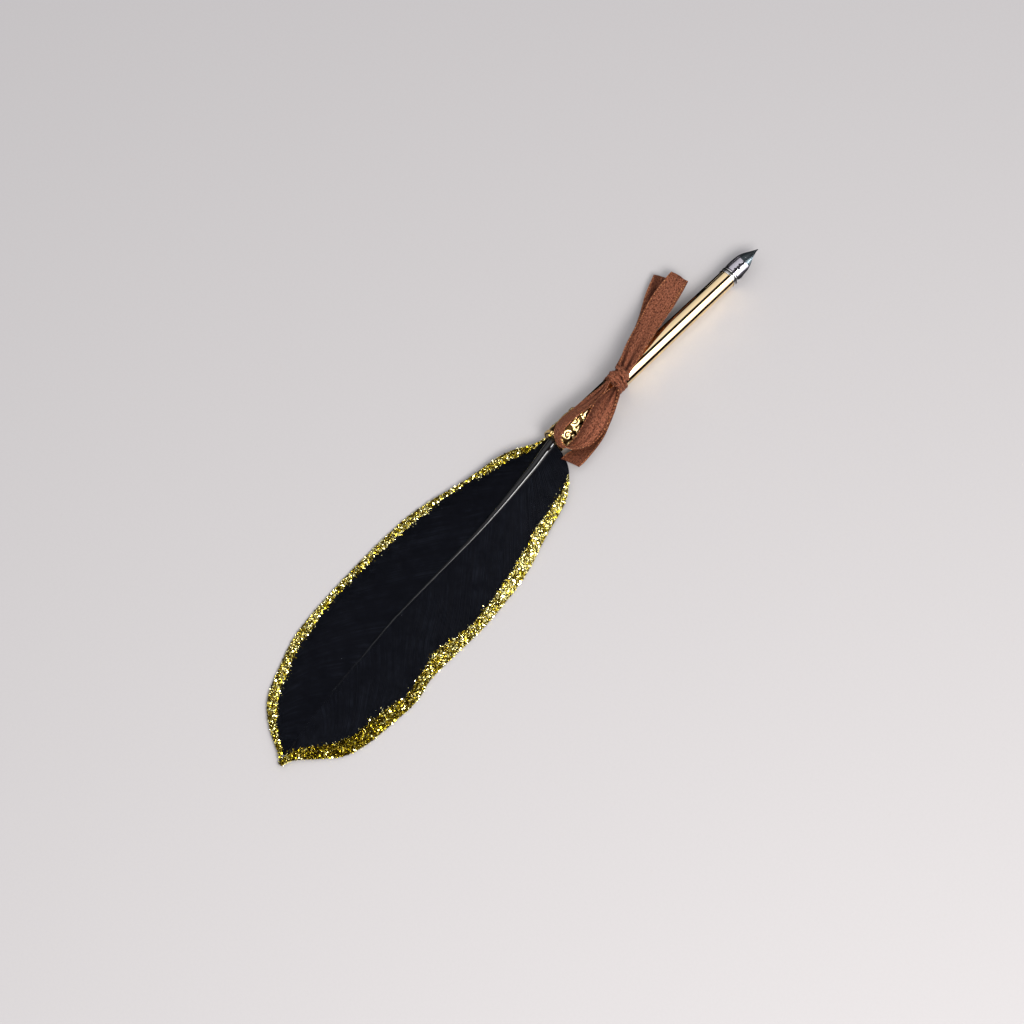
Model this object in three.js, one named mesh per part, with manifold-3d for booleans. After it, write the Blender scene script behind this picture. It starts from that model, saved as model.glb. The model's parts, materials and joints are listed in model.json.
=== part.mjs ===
// A quill pen for dipping: a polished tube holds a pull-out steel nib at its front and a
// black feather at its back, and a ribbon bow is tied round it. Millimetres, +Z up, +X towards
// the nib. The pen lies on a table, so its origin is the middle of its footprint.
import * as THREE from "three";
import { mergeVertices } from "three/addons/utils/BufferGeometryUtils.js";
import Module from "manifold-3d";

const wasm = await Module();
wasm.setup();

// Driving dimensions. Lengths run along the pen's axis, from its mouth at x = 0.
const BARREL_LENGTH = 75;
const BARREL_RADIUS = 3.22; // at the mouth
const BARREL_FLARE = 0.28; // how much wider the barrel is at its back
const BARREL_WALL = 0.45; // at the mouth
const RING_STEP = 0.33; // how far the ring stands out from the barrel
const RING_REACH = 0.6; // how far the ring stands in front of the mouth
const RING_OVERLAP = 1.2; // how far it laps back over the barrel
const SLEEVE_LENGTH = 13.2;
const SLEEVE_STEP = 0.9; // how far its rims stand out from the barrel's back
const SLEEVE_WALL = 0.7;
const SLEEVE_WAIST = 0.2; // how much thinner the sleeve is between its rims
const SLEEVE_RIM = 1.2;
const SOCKET_BORE_DEPTH = 11;
const SOCKET_SPIGOT_LENGTH = 9;
const NIB_LENGTH = 14.8; // the part in front of the mouth
const NIB_TAIL_LENGTH = 14;
const NIB_THICKNESS = 0.3;
const NIB_BODY_RADIUS = 3.35;
const NIB_SHOULDER = 0.6; // how far the body takes to widen in front of the ring
const CLAMP_LENGTH = 17;
const CLAMP_WALL = 0.3;
const CLAMP_SLITS = 4;
const CLAMP_SLIT_WIDTH = 0.8;
const CLAMP_SLIT_LENGTH = 11.9;
const CORE_FOOT_LENGTH = 3;
const FEATHER_LENGTH = 146;
const CALAMUS_RADIUS = 1.75;
const VANE_THICKNESS = 0.5;
const TRIM_THICKNESS = 1;
const RIBBON_THICKNESS = 0.3;
const WRAP_WIDTH = 5.6;
const WRAP_THICKNESS = 0.4;
const BOW_TO_SLEEVE = 17.7; // from the middle of the knot back to the sleeve
const KNOT_SIZE = new THREE.Vector3(6.8, 6.4, 3.4);
const KNOT_OFFSET = -1; // the knot sits a little towards the right-hand side
const FRONT_LOOP_LENGTH = 42.1;
const FRONT_TAIL_LENGTH = 40.6;

// Clearances between pieces.
const FIT = 0.1; // between coaxial pieces that slide or press together
const GAP = 0.3; // between pieces that lie side by side

// Where things come to, worked out from the sizes above.
const SLEEVE_FRONT = -(BARREL_LENGTH + GAP);
const SLEEVE_BACK = SLEEVE_FRONT - SLEEVE_LENGTH;
const BARREL_BACK_RADIUS = BARREL_RADIUS + BARREL_FLARE;
const RING_RADIUS = BARREL_RADIUS + RING_STEP;
const SLEEVE_RADIUS = BARREL_BACK_RADIUS + SLEEVE_STEP;
const BORE_RADIUS = BARREL_RADIUS - BARREL_WALL;
const CLAMP_RADIUS = BORE_RADIUS - FIT;
const TAIL_RADIUS = CLAMP_RADIUS - CLAMP_WALL - FIT;
const CORE_RADIUS = TAIL_RADIUS - NIB_THICKNESS - FIT;
const TILT = Math.atan((SLEEVE_RADIUS - RING_RADIUS) / (RING_REACH - SLEEVE_FRONT));
const MOUTH_HEIGHT = RING_RADIUS * Math.cos(TILT) + RING_REACH * Math.sin(TILT);
const QUILL_HEIGHT = MOUTH_HEIGHT - SLEEVE_BACK * Math.sin(TILT);
const BOW_PLACE = SLEEVE_FRONT + BOW_TO_SLEEVE;

// The table's level below the axis at x: the pen rests on its ring and its sleeve.
const tableAt = (x) => (x * Math.sin(TILT) - MOUTH_HEIGHT) / Math.cos(TILT);
const onTable = ([x, y, height]) => new THREE.Vector3(x, y, tableAt(x) + height);
const lerp = THREE.MathUtils.lerp;
const steps = (count) => Array.from({ length: count + 1 }, (_, i) => i / count);

// A smooth value along a table of [place, value], with Catmull-Rom slopes.
function along(table) {
  const slope = (i) => {
    const a = table[Math.max(i - 1, 0)];
    const b = table[Math.min(i + 1, table.length - 1)];
    return (b[1] - a[1]) / (b[0] - a[0]);
  };
  return (place) => {
    const s = THREE.MathUtils.clamp(place, table[0][0], table.at(-1)[0]);
    const found = table.findIndex(([at]) => at >= s);
    const i = Math.max(found, 1) - 1;
    const [a, b] = [table[i], table[i + 1]];
    const span = b[0] - a[0];
    const t = (s - a[0]) / span;
    const rise = t * t * (3 - 2 * t);
    const bendA = t * (1 - t) * (1 - t) * slope(i) * span;
    const bendB = t * t * (t - 1) * slope(i + 1) * span;
    return lerp(a[1], b[1], rise) + bendA + bendB;
  };
}

// The same, for a table whose values are shares of one size.
function scaled(size, table) {
  const share = along(table);
  return (place) => size * share(place);
}

// A closed surface through equal sections, each a ring of points that goes out along one side
// and comes back along the other, so that each end closes as a strip between the two sides.
function loft(sections) {
  const n = sections[0].length;
  const index = [];
  for (let r = 0; r + 1 < sections.length; r += 1) {
    for (let i = 0; i < n; i += 1) {
      const a = r * n + i;
      const b = r * n + ((i + 1) % n);
      index.push(a, b, a + n, b, b + n, a + n);
    }
  }
  const last = (sections.length - 1) * n;
  for (let i = 0; i + 1 < n / 2; i += 1) {
    const [a, b, c, d] = [i, i + 1, n - 1 - i, n - 2 - i];
    index.push(a, c, b, b, c, d);
    index.push(last + a, last + b, last + c, last + b, last + d, last + c);
  }
  const geometry = new THREE.BufferGeometry().setFromPoints(sections.flat());
  geometry.setIndex(index);
  return facingOut(geometry);
}

function signedVolume(geometry) {
  const at = (i) => new THREE.Vector3().fromBufferAttribute(geometry.attributes.position, i);
  const corner = geometry.index.array;
  let sum = 0;
  for (let i = 0; i < corner.length; i += 3) {
    sum += at(corner[i]).dot(at(corner[i + 1]).cross(at(corner[i + 2])));
  }
  return sum / 6;
}

function facingOut(geometry) {
  if (signedVolume(geometry) > 0) return geometry;
  const corner = geometry.index.array;
  for (let i = 0; i < corner.length; i += 3) {
    [corner[i + 1], corner[i + 2]] = [corner[i + 2], corner[i + 1]];
  }
  return geometry;
}

// A profile of [x, radius] points turned about the pen's axis.
function turned(profile, segments = 32) {
  const points = profile.map(([x, radius]) => new THREE.Vector2(radius, x));
  return facingOut(new THREE.LatheGeometry(points, segments).rotateZ(-Math.PI / 2));
}

// A tube's closed profile, from its outer points and its inner points, both front to back.
const tube = (outer, inner) => turned([...outer, ...[...inner].reverse(), outer[0]]);

function asSolid(geometry) {
  const plain = geometry.clone();
  plain.deleteAttribute("normal");
  plain.deleteAttribute("uv");
  const merged = mergeVertices(plain, 1e-4);
  const vertProperties = merged.attributes.position.array;
  const triVerts = new Uint32Array(merged.index.array);
  return new wasm.Manifold(new wasm.Mesh({ numProp: 3, vertProperties, triVerts }));
}

function cut(body, ...tools) {
  const left = tools.reduce((solid, tool) => solid.subtract(asSolid(tool)), asSolid(body));
  const { vertProperties, triVerts } = left.getMesh();
  const geometry = new THREE.BufferGeometry();
  geometry.setAttribute("position", new THREE.BufferAttribute(vertProperties, 3));
  geometry.setIndex(new THREE.BufferAttribute(triVerts, 1));
  return geometry;
}

// A strip of ribbon between two edges, each a list of [x, y, height above the table].
function strip(leftEdge, rightEdge, count) {
  const left = new THREE.CatmullRomCurve3(leftEdge.map(onTable), false, "centripetal");
  const right = new THREE.CatmullRomCurve3(rightEdge.map(onTable), false, "centripetal");
  const rows = steps(count).map((t) => [left.getPoint(t), right.getPoint(t)]);
  const middle = ([a, b]) => a.clone().add(b).multiplyScalar(0.5);
  return loft(
    rows.map((row, i) => {
      const before = middle(rows[Math.max(i - 1, 0)]);
      const after = middle(rows[Math.min(i + 1, count)]);
      const face = after.sub(before).cross(row[1].clone().sub(row[0]));
      const half = face.normalize().multiplyScalar(RIBBON_THICKNESS / 2);
      const over = row.map((point) => point.clone().add(half));
      const under = row.map((point) => point.clone().sub(half));
      return [over[0], over[1], under[1], under[0]];
    }),
  );
}

// ---- Nib and what holds it ----------------------------------------------------------------

// The nib's arched section along its length: place, half-angle in degrees, radius and height of
// its crest above the axis. In front of the mouth, the body and the tines come to a point.
const NIB_FRONT = [
  [0.3, 85, 1, 1], [0.42, 72, 1, 1], [0.54, 54, 1, 0.93], [0.66, 38, 0.98, 0.77],
  [0.78, 27, 0.88, 0.54], [0.9, 19, 0.62, 0.29], [1, 12, 0.35, 0.09],
].map(([s, angle, r, crest]) => [s * NIB_LENGTH, angle, r * NIB_BODY_RADIUS, crest * NIB_BODY_RADIUS]);
const NIB_ARCH = [
  [-NIB_TAIL_LENGTH, 80, TAIL_RADIUS, TAIL_RADIUS],
  [RING_REACH, 80, TAIL_RADIUS, TAIL_RADIUS],
  [RING_REACH + NIB_SHOULDER, 85, NIB_BODY_RADIUS, NIB_BODY_RADIUS],
  ...NIB_FRONT,
];

function nib() {
  const arc = steps(12).map((v) => 2 * v - 1);
  const sections = NIB_ARCH.map(([x, halfAngle, radius, crest]) => {
    const point = (share, r) => {
      const angle = THREE.MathUtils.degToRad(halfAngle) * share;
      return new THREE.Vector3(x, r * Math.sin(angle), crest - radius + r * Math.cos(angle));
    };
    const outer = arc.map((share) => point(share, radius));
    const inner = arc.map((share) => point(share, radius - NIB_THICKNESS));
    return [...outer, ...inner.reverse()];
  });
  return loft(sections);
}

function nibCore() {
  const front = -GAP;
  const foot = -(CLAMP_LENGTH + 2 * GAP);
  const back = foot - CORE_FOOT_LENGTH;
  return turned([
    [back, 0],
    [back, CLAMP_RADIUS],
    [foot, CLAMP_RADIUS],
    [foot, CORE_RADIUS],
    [front, CORE_RADIUS],
    [front, 0],
  ]);
}

// A spring tube inside the mouth: its leaves press the nib's tail against the core.
function nibClamp() {
  const front = -GAP;
  const back = front - CLAMP_LENGTH;
  const inner = CLAMP_RADIUS - CLAMP_WALL;
  const body = tube(
    [[front, CLAMP_RADIUS], [back, CLAMP_RADIUS]],
    [[front, inner], [back, inner]],
  );
  const slits = steps(CLAMP_SLITS - 1).map((_, i) => {
    const slit = new THREE.BoxGeometry(CLAMP_SLIT_LENGTH * 2, CLAMP_SLIT_WIDTH, CLAMP_RADIUS * 2);
    slit.translate(front, 0, CLAMP_RADIUS);
    return slit.rotateX(((i + 0.5) / CLAMP_SLITS) * 2 * Math.PI);
  });
  return cut(body, ...slits);
}

function mouthRing() {
  const back = -RING_OVERLAP;
  const lap = BARREL_RADIUS + FIT;
  const lip = TAIL_RADIUS + 2 * FIT;
  return tube(
    [[RING_REACH, RING_RADIUS], [back, RING_RADIUS]],
    [[RING_REACH, lip], [0, lip], [0, lap], [back, lap]],
  );
}

// ---- Barrel and feather socket --------------------------------------------------------------

const barrelRadiusAt = (x) => lerp(BARREL_RADIUS, BARREL_BACK_RADIUS, -x / BARREL_LENGTH);

function barrel() {
  return tube(
    [[-FIT, BARREL_RADIUS], [-BARREL_LENGTH, BARREL_BACK_RADIUS]],
    [[-FIT, BORE_RADIUS], [-BARREL_LENGTH, BORE_RADIUS]],
  );
}

// One turned piece: a spigot in the barrel's back, then a cup that holds the quill.
function featherSocket() {
  const spigotFront = SOCKET_SPIGOT_LENGTH - BARREL_LENGTH;
  const spigot = BORE_RADIUS - FIT;
  const body = SLEEVE_RADIUS - SLEEVE_WAIST - SLEEVE_WALL - FIT;
  const bore = CALAMUS_RADIUS + GAP;
  return turned([
    [SLEEVE_BACK + SOCKET_BORE_DEPTH, 0],
    [SLEEVE_BACK + SOCKET_BORE_DEPTH, bore],
    [SLEEVE_BACK, bore],
    [SLEEVE_BACK, body],
    [SLEEVE_FRONT, body],
    [SLEEVE_FRONT, spigot],
    [spigotFront, spigot],
    [spigotFront, 0],
  ]);
}

function filigreeSleeve() {
  const waist = SLEEVE_RADIUS - SLEEVE_WAIST;
  const inner = waist - SLEEVE_WALL;
  return tube(
    [
      [SLEEVE_FRONT, SLEEVE_RADIUS],
      [SLEEVE_FRONT - SLEEVE_RIM, SLEEVE_RADIUS],
      [SLEEVE_FRONT - SLEEVE_RIM, waist],
      [SLEEVE_BACK + SLEEVE_RIM, waist],
      [SLEEVE_BACK + SLEEVE_RIM, SLEEVE_RADIUS],
      [SLEEVE_BACK, SLEEVE_RADIUS],
    ],
    [[SLEEVE_FRONT, inner], [SLEEVE_BACK, inner]],
  );
}

// ---- Feather ----------------------------------------------------------------------------------

// Places along the feather are shares of its length, from the sleeve to its tip, and sideways
// places are millimetres. Heights above the table are shares of the quill's height in the sleeve.
const SHAFT_SIDE = along([
  [-0.1, 0], [0, 0], [0.09, -1.9], [0.26, -4.3], [0.44, -5.2], [0.57, -5.9], [0.68, -7.6],
  [0.78, -9.1], [0.89, -11.6], [1, -14.6],
]);
const SHAFT_HEIGHT = scaled(QUILL_HEIGHT, [
  [0, 1], [0.1, 0.95], [0.2, 0.82], [0.35, 0.64], [0.5, 0.53], [0.7, 0.42], [0.85, 0.35],
  [1, 0.29],
]);
const SHAFT_RADIUS = scaled(CALAMUS_RADIUS, [
  [-0.1, 0.8], [0, 1], [0.09, 0.86], [0.26, 0.6], [0.44, 0.43], [0.68, 0.26], [0.9, 0.14],
  [1, 0.11],
]);
const LEFT_OUTLINE = along([
  [0, 2.9], [0.035, 4.6], [0.075, 8], [0.115, 10.1], [0.167, 11.4], [0.228, 13.2],
  [0.289, 15.6], [0.35, 17.2], [0.442, 17.6], [0.568, 16.9], [0.683, 15.5], [0.759, 13.6],
  [0.835, 9.3], [0.904, 4.3], [0.95, -3.3], [0.982, -11.8], [1, -14.2],
]);
const LEFT_VANE_EDGE = along([
  [0, 2.6], [0.03, 3], [0.072, 4.9], [0.115, 7.3], [0.167, 9.1], [0.197, 10.8], [0.243, 12.6],
  [0.319, 14], [0.442, 15.1], [0.568, 14.9], [0.645, 14.3], [0.701, 12.2], [0.759, 10.5],
  [0.835, 6], [0.904, 0.1], [0.942, -5.4], [0.97, -11.7], [1, -14.5],
]);
const RIGHT_OUTLINE = along([
  [0, -4], [0.013, -8.5], [0.048, -13.6], [0.086, -17.3], [0.121, -18.8], [0.197, -21.9],
  [0.259, -24.9], [0.319, -26.9], [0.442, -28.9], [0.564, -28.9], [0.621, -29.3],
  [0.675, -31.2], [0.759, -30.9], [0.835, -29.9], [0.888, -27.3], [0.93, -22.2],
  [0.969, -17], [1, -15.4],
]);
const RIGHT_VANE_EDGE = along([
  [0, -3.6], [0.013, -8.1], [0.035, -11.6], [0.085, -14.4], [0.167, -16.5], [0.203, -17.9],
  [0.243, -20], [0.319, -22.6], [0.442, -25.6], [0.503, -24.9], [0.549, -23.8],
  [0.606, -25.2], [0.679, -27.7], [0.748, -26], [0.835, -24.7], [0.888, -21.7],
  [0.93, -16.6], [0.957, -14.6], [1, -14.7],
]);
const LEFT_EDGE_HEIGHT = scaled(QUILL_HEIGHT, [
  [0, 0.89], [0.1, 0.65], [0.2, 0.4], [0.35, 0.11], [0.8, 0.11], [1, 0.29],
]);
const RIGHT_EDGE_HEIGHT = scaled(QUILL_HEIGHT, [
  [0, 0.49], [0.05, 0.42], [0.15, 0.25], [0.28, 0.11], [0.8, 0.11], [1, 0.29],
]);

const SHAFT_END = 0.94; // past here only barbs are left
const featherX = (s) => SLEEVE_BACK - s * FEATHER_LENGTH;
const span = (from, to, count) => steps(count).map((t) => lerp(from, to, t));

function featherShaft() {
  const sides = 10;
  const around = Array.from({ length: sides }, (_, i) => (i / sides) * 2 * Math.PI);
  const inSocket = -(SOCKET_BORE_DEPTH - 1) / FEATHER_LENGTH;
  const places = [inSocket, inSocket / 2, ...span(0, SHAFT_END, 44)];
  const sections = places.map((s) => {
    const x = featherX(s);
    const centre = s < 0 ? 0 : tableAt(x) + SHAFT_HEIGHT(s);
    const radius = SHAFT_RADIUS(s);
    return around.map(
      (angle) =>
        new THREE.Vector3(
          x,
          SHAFT_SIDE(s) + radius * Math.cos(angle),
          centre + radius * Math.sin(angle),
        ),
    );
  });
  return loft(sections);
}

// One side of the feather's blade, from near the shaft out to the trim.
function vane(side, vaneEdge, edgeHeight, first, last) {
  const across = steps(4);
  const sections = span(first, last, 52).map((s) => {
    const root = SHAFT_SIDE(s) + side * (SHAFT_RADIUS(s) + GAP);
    const out = vaneEdge(s) - side * GAP;
    const edge = side * out > side * root + GAP ? out : root + side * GAP;
    const top = across.map((v) => {
      const height = lerp(SHAFT_HEIGHT(s), edgeHeight(s), (v + v * v) / 2);
      return onTable([featherX(s), lerp(root, edge, v), height + VANE_THICKNESS / 2]);
    });
    const under = top.map((point) => point.clone().setZ(point.z - VANE_THICKNESS));
    return [...top, ...under.reverse()];
  });
  return loft(sections);
}

// The band of glitter glued along one side's edge.
function trim(side, vaneEdge, outline, edgeHeight, first, last) {
  const sections = span(first, last, 56).map((s) => {
    const inner = vaneEdge(s);
    const outer = side * outline(s) > side * inner + GAP ? outline(s) : inner + side * GAP;
    const low = Math.max(edgeHeight(s) - TRIM_THICKNESS / 2, 0);
    const row = [inner, lerp(inner, outer, 0.5), outer];
    const top = row.map((y) => onTable([featherX(s), y, low + TRIM_THICKNESS]));
    const under = row.map((y) => onTable([featherX(s), y, low]));
    return [...top, ...under.reverse()];
  });
  return loft(sections);
}

// ---- Ribbon bow -------------------------------------------------------------------------------

function ribbonWrap() {
  const front = BOW_PLACE + WRAP_WIDTH / 2;
  const back = front - WRAP_WIDTH;
  const inner = barrelRadiusAt(back) + FIT;
  const outer = inner + WRAP_THICKNESS;
  return tube([[front, outer], [back, outer]], [[front, inner], [back, inner]]);
}

function ribbonKnot() {
  const wrapTop = barrelRadiusAt(BOW_PLACE) + FIT + WRAP_THICKNESS;
  const knot = new THREE.SphereGeometry(0.5, 20, 14).scale(...KNOT_SIZE.toArray());
  return knot.translate(BOW_PLACE, KNOT_OFFSET, wrapTop + 1.5 * GAP + KNOT_SIZE.z / 2);
}

// The bow's strips run from the ends of the knot. Their points are listed as a share of the way
// along, millimetres sideways, and a height above the table as a share of the pen's own height
// there. The back ones are measured to the back of the sleeve, over which they lie.
const KNOT_END = KNOT_SIZE.x / 2 + GAP;
const BACK_REACH = BOW_PLACE - SLEEVE_BACK - KNOT_END;
const penTopAt = (x) => (x < SLEEVE_FRONT ? SLEEVE_RADIUS : barrelRadiusAt(x)) - tableAt(x);
const ribbonEdge = (start, reach, points) =>
  points.map(([share, y, rise]) => {
    const x = start + share * reach;
    return [x, y, rise * penTopAt(x)];
  });
const backEdge = (points) => ribbonEdge(BOW_PLACE - KNOT_END, -BACK_REACH, points);
const frontEdge = (reach, points) => ribbonEdge(BOW_PLACE + KNOT_END, reach, points);

const LOOP_BACK_LOW = backEdge([
  [0, 0.9, 1.22], [0.14, 1.3, 1.15], [0.36, 1.7, 1.16], [0.58, 2, 1.09], [0.78, 2.2, 1.08],
  [0.94, 0.9, 1.1], [1.02, -1.5, 1.06], [1.04, -3.6, 0.9], [1, -5.1, 0.78], [0.91, -5.1, 0.73],
  [0.8, -4.9, 0.74], [0.67, -4.1, 0.88], [0.48, -2.6, 1.07], [0.32, -1.5, 1.18],
  [0.15, -1.3, 1.21], [0, -2, 1.13],
]);
const LOOP_BACK_HIGH = backEdge([
  [0, -0.3, 1.38], [0.14, -1.9, 1.45], [0.37, -2.8, 1.58], [0.61, -2.5, 1.53],
  [0.82, -2.5, 1.54], [0.96, -3.1, 1.46], [1.03, -4.3, 1.34], [1.04, -5.8, 1.22],
  [1.01, -7.3, 1.08], [0.95, -8.6, 0.94], [0.86, -9.6, 0.76], [0.72, -10.4, 0.59],
  [0.5, -9.9, 0.56], [0.32, -8.6, 0.69], [0.15, -6.8, 0.93], [0, -4.4, 1.16],
]);
const TAIL_BACK_INNER = backEdge([
  [0, -3.9, 0.83], [0.17, -4.4, 0.44], [0.32, -4.3, 0.2], [0.5, -4.9, 0.1], [0.69, -5.6, 0.11],
  [0.87, -6, 0.24], [1, -6, 0.4], [1.1, -6.1, 0.45],
]);
const TAIL_BACK_OUTER = backEdge([
  [0, -5.2, 0.9], [0.17, -7.4, 0.64], [0.32, -9, 0.47], [0.5, -10.7, 0.39], [0.69, -11.6, 0.34],
  [0.84, -12.1, 0.33], [0.93, -12.3, 0.31], [1.01, -12.1, 0.29],
]);
const LOOP_FRONT_LEFT = frontEdge(FRONT_LOOP_LENGTH, [
  [0, 2.2, 1.34], [0.16, 5.6, 1.18], [0.38, 8.8, 1], [0.65, 12.8, 0.82], [0.92, 15, 0.74],
  [0.98, 15.3, 0.63], [0.92, 15, 0.51], [0.65, 12.8, 0.61], [0.38, 8.8, 0.85],
  [0.16, 5.6, 1.07], [0, 2.2, 1.23],
]);
const LOOP_FRONT_RIGHT = frontEdge(FRONT_LOOP_LENGTH, [
  [0, -2.6, 1.31], [0.16, -1.2, 1.33], [0.38, 1.2, 1.3], [0.71, 4.8, 1.04], [0.94, 7.9, 0.8],
  [1, 8.6, 0.68], [0.94, 7.9, 0.54], [0.71, 4.8, 0.86], [0.38, 1.2, 1.21], [0.16, -1.2, 1.24],
  [0, -2.6, 1.2],
]);
const TAIL_FRONT_OUTER = frontEdge(FRONT_TAIL_LENGTH, [
  [0, 3.2, 1.07], [0.15, 5.4, 0.91], [0.34, 8.4, 0.68], [0.52, 11.9, 0.48], [0.71, 16.2, 0.38],
  [0.92, 19.8, 0.31],
]);
const TAIL_FRONT_INNER = frontEdge(FRONT_TAIL_LENGTH, [
  [0, -1.4, 1.08], [0.15, -0.6, 1.11], [0.35, 2.4, 1.05], [0.56, 5.4, 0.72], [0.79, 9.8, 0.45],
  [1, 13.4, 0.34],
]);

// ---- Assembly ---------------------------------------------------------------------------------

const FINISHES = {
  gold: { color: 0xd9b873, roughness: 0.12, metalness: 1 },
  brass: { color: 0xb58a45, roughness: 0.35, metalness: 1 },
  steel: { color: 0xc9c9d0, roughness: 0.18, metalness: 1 },
  core: { color: 0x1b1b1d, roughness: 0.6, metalness: 0 },
  quill: { color: 0x0b0c10, roughness: 0.25, metalness: 0 },
  vane: { color: 0x0d0f14, roughness: 0.8, metalness: 0 },
  glitter: { color: 0xb3a21f, roughness: 0.5, metalness: 0.6 },
  ribbon: { color: 0x7a4030, roughness: 0.6, metalness: 0 },
};

const pen = new THREE.Group();

function addPiece(name, finish, geometry) {
  const mesh = new THREE.Mesh(geometry, new THREE.MeshStandardMaterial(FINISHES[finish]));
  mesh.name = name;
  pen.add(mesh);
}

addPiece("nib", "steel", nib());
addPiece("nib_core", "core", nibCore());
addPiece("nib_clamp", "steel", nibClamp());
addPiece("mouth_ring", "steel", mouthRing());
addPiece("barrel", "gold", barrel());
addPiece("feather_socket", "brass", featherSocket());
addPiece("filigree_sleeve", "gold", filigreeSleeve());
addPiece("feather_shaft", "quill", featherShaft());
addPiece("vane_left", "vane", vane(1, LEFT_VANE_EDGE, LEFT_EDGE_HEIGHT, 0.004, 0.97));
addPiece("vane_right", "vane", vane(-1, RIGHT_VANE_EDGE, RIGHT_EDGE_HEIGHT, 0.004, 0.955));
const leftTrim = trim(1, LEFT_VANE_EDGE, LEFT_OUTLINE, LEFT_EDGE_HEIGHT, 0.012, 0.99);
addPiece("trim_left", "glitter", leftTrim);
const rightTrim = trim(-1, RIGHT_VANE_EDGE, RIGHT_OUTLINE, RIGHT_EDGE_HEIGHT, 0.035, 1);
addPiece("trim_right", "glitter", rightTrim);
addPiece("ribbon_wrap", "ribbon", ribbonWrap());
addPiece("ribbon_knot", "ribbon", ribbonKnot());
addPiece("loop_back", "ribbon", strip(LOOP_BACK_LOW, LOOP_BACK_HIGH, 48));
addPiece("tail_back", "ribbon", strip(TAIL_BACK_INNER, TAIL_BACK_OUTER, 16));
addPiece("loop_front", "ribbon", strip(LOOP_FRONT_LEFT, LOOP_FRONT_RIGHT, 40));
addPiece("tail_front", "ribbon", strip(TAIL_FRONT_OUTER, TAIL_FRONT_INNER, 14));

// Laid on the table, with the middle of its footprint at the origin.
pen.rotation.y = TILT;
pen.position.z = MOUTH_HEIGHT;
const quillPen = new THREE.Group();
quillPen.add(pen);
quillPen.updateMatrixWorld(true);
const footprint = new THREE.Box3().setFromObject(quillPen, true);
const middle = footprint.getCenter(new THREE.Vector3());
quillPen.position.set(-middle.x, -middle.y, -footprint.min.z);

export default quillPen;
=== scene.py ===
"""A feather dip pen on a pale table: gold tube, steel nib, filigree sleeve, glitter-edged feather, ribbon bow.

Every shape is worked out in the pen's own frame and in millimetres: x runs along the tube from its
mouth towards the nib, y to the left and z up from the tube's axis. PenFrame turns that into the row's
frame, where the pen lies a little tilted on the table.
"""
from __future__ import annotations

import json
import logging
import math
from dataclasses import dataclass, field
from enum import Enum
from typing import Callable, Sequence

import bmesh
import bpy
import numpy as np
from mathutils import Matrix, Vector


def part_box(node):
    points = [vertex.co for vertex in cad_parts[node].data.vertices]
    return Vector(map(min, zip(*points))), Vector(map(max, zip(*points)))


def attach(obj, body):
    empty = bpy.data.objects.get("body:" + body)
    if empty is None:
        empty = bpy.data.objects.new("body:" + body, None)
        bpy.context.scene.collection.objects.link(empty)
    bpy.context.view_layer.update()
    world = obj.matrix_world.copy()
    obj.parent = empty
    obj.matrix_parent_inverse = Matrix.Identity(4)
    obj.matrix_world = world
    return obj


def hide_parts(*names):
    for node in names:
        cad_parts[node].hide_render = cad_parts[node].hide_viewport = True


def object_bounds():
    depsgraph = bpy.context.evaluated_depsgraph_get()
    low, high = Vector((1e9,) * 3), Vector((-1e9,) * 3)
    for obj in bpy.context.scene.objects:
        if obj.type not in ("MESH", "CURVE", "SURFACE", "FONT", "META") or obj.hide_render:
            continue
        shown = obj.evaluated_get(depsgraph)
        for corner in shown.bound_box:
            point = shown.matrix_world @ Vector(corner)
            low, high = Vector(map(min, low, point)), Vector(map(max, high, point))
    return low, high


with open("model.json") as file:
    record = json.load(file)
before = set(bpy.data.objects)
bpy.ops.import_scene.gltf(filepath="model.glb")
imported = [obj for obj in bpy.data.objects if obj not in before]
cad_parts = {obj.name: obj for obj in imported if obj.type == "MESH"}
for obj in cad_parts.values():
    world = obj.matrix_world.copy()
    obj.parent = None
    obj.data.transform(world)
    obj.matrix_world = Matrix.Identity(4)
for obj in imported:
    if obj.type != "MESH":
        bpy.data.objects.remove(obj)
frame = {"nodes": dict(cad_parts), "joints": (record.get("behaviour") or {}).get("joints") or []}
CAD_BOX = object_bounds()

log = logging.getLogger("quill_pen")

MM = 0.001
TAU = 2 * math.pi

Array = np.ndarray
Curve = Callable[[Array], Array]
Table = Sequence[tuple[float, float]]


class Side(Enum):
    """The feather's two sides, seen from above with the nib in front."""

    LEFT = 1
    RIGHT = -1


# ---- Curves -------------------------------------------------------------------------------------


def along(table: Table, size: float = 1.0) -> Curve:
    """Makes a smooth function out of a table of places and values.

    Args:
        table: (place, value) pairs in rising order of place.
        size: what the values are shares of.

    Returns:
        A function that gives the value at each place of an array.
    """
    at, value = np.array(table, float).T
    last = len(at) - 1
    before, after = np.maximum(np.arange(last + 1) - 1, 0), np.minimum(np.arange(last + 1) + 1, last)
    slope = (value[after] - value[before]) / (at[after] - at[before])

    def value_at(place: Array) -> Array:
        """Gives the cubic through the table rows about each place.

        Args:
            place: the places.

        Returns:
            The value at each one.
        """
        s = np.clip(np.asarray(place, float), at[0], at[-1])
        i = np.clip(np.searchsorted(at, s) - 1, 0, last - 1)
        gap = at[i + 1] - at[i]
        t = (s - at[i]) / gap
        rise = t * t * (3 - 2 * t)
        bend = t * (1 - t) ** 2 * slope[i] * gap + t * t * (t - 1) * slope[i + 1] * gap
        return size * (value[i] * (1 - rise) + value[i + 1] * rise + bend)

    return value_at


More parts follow.
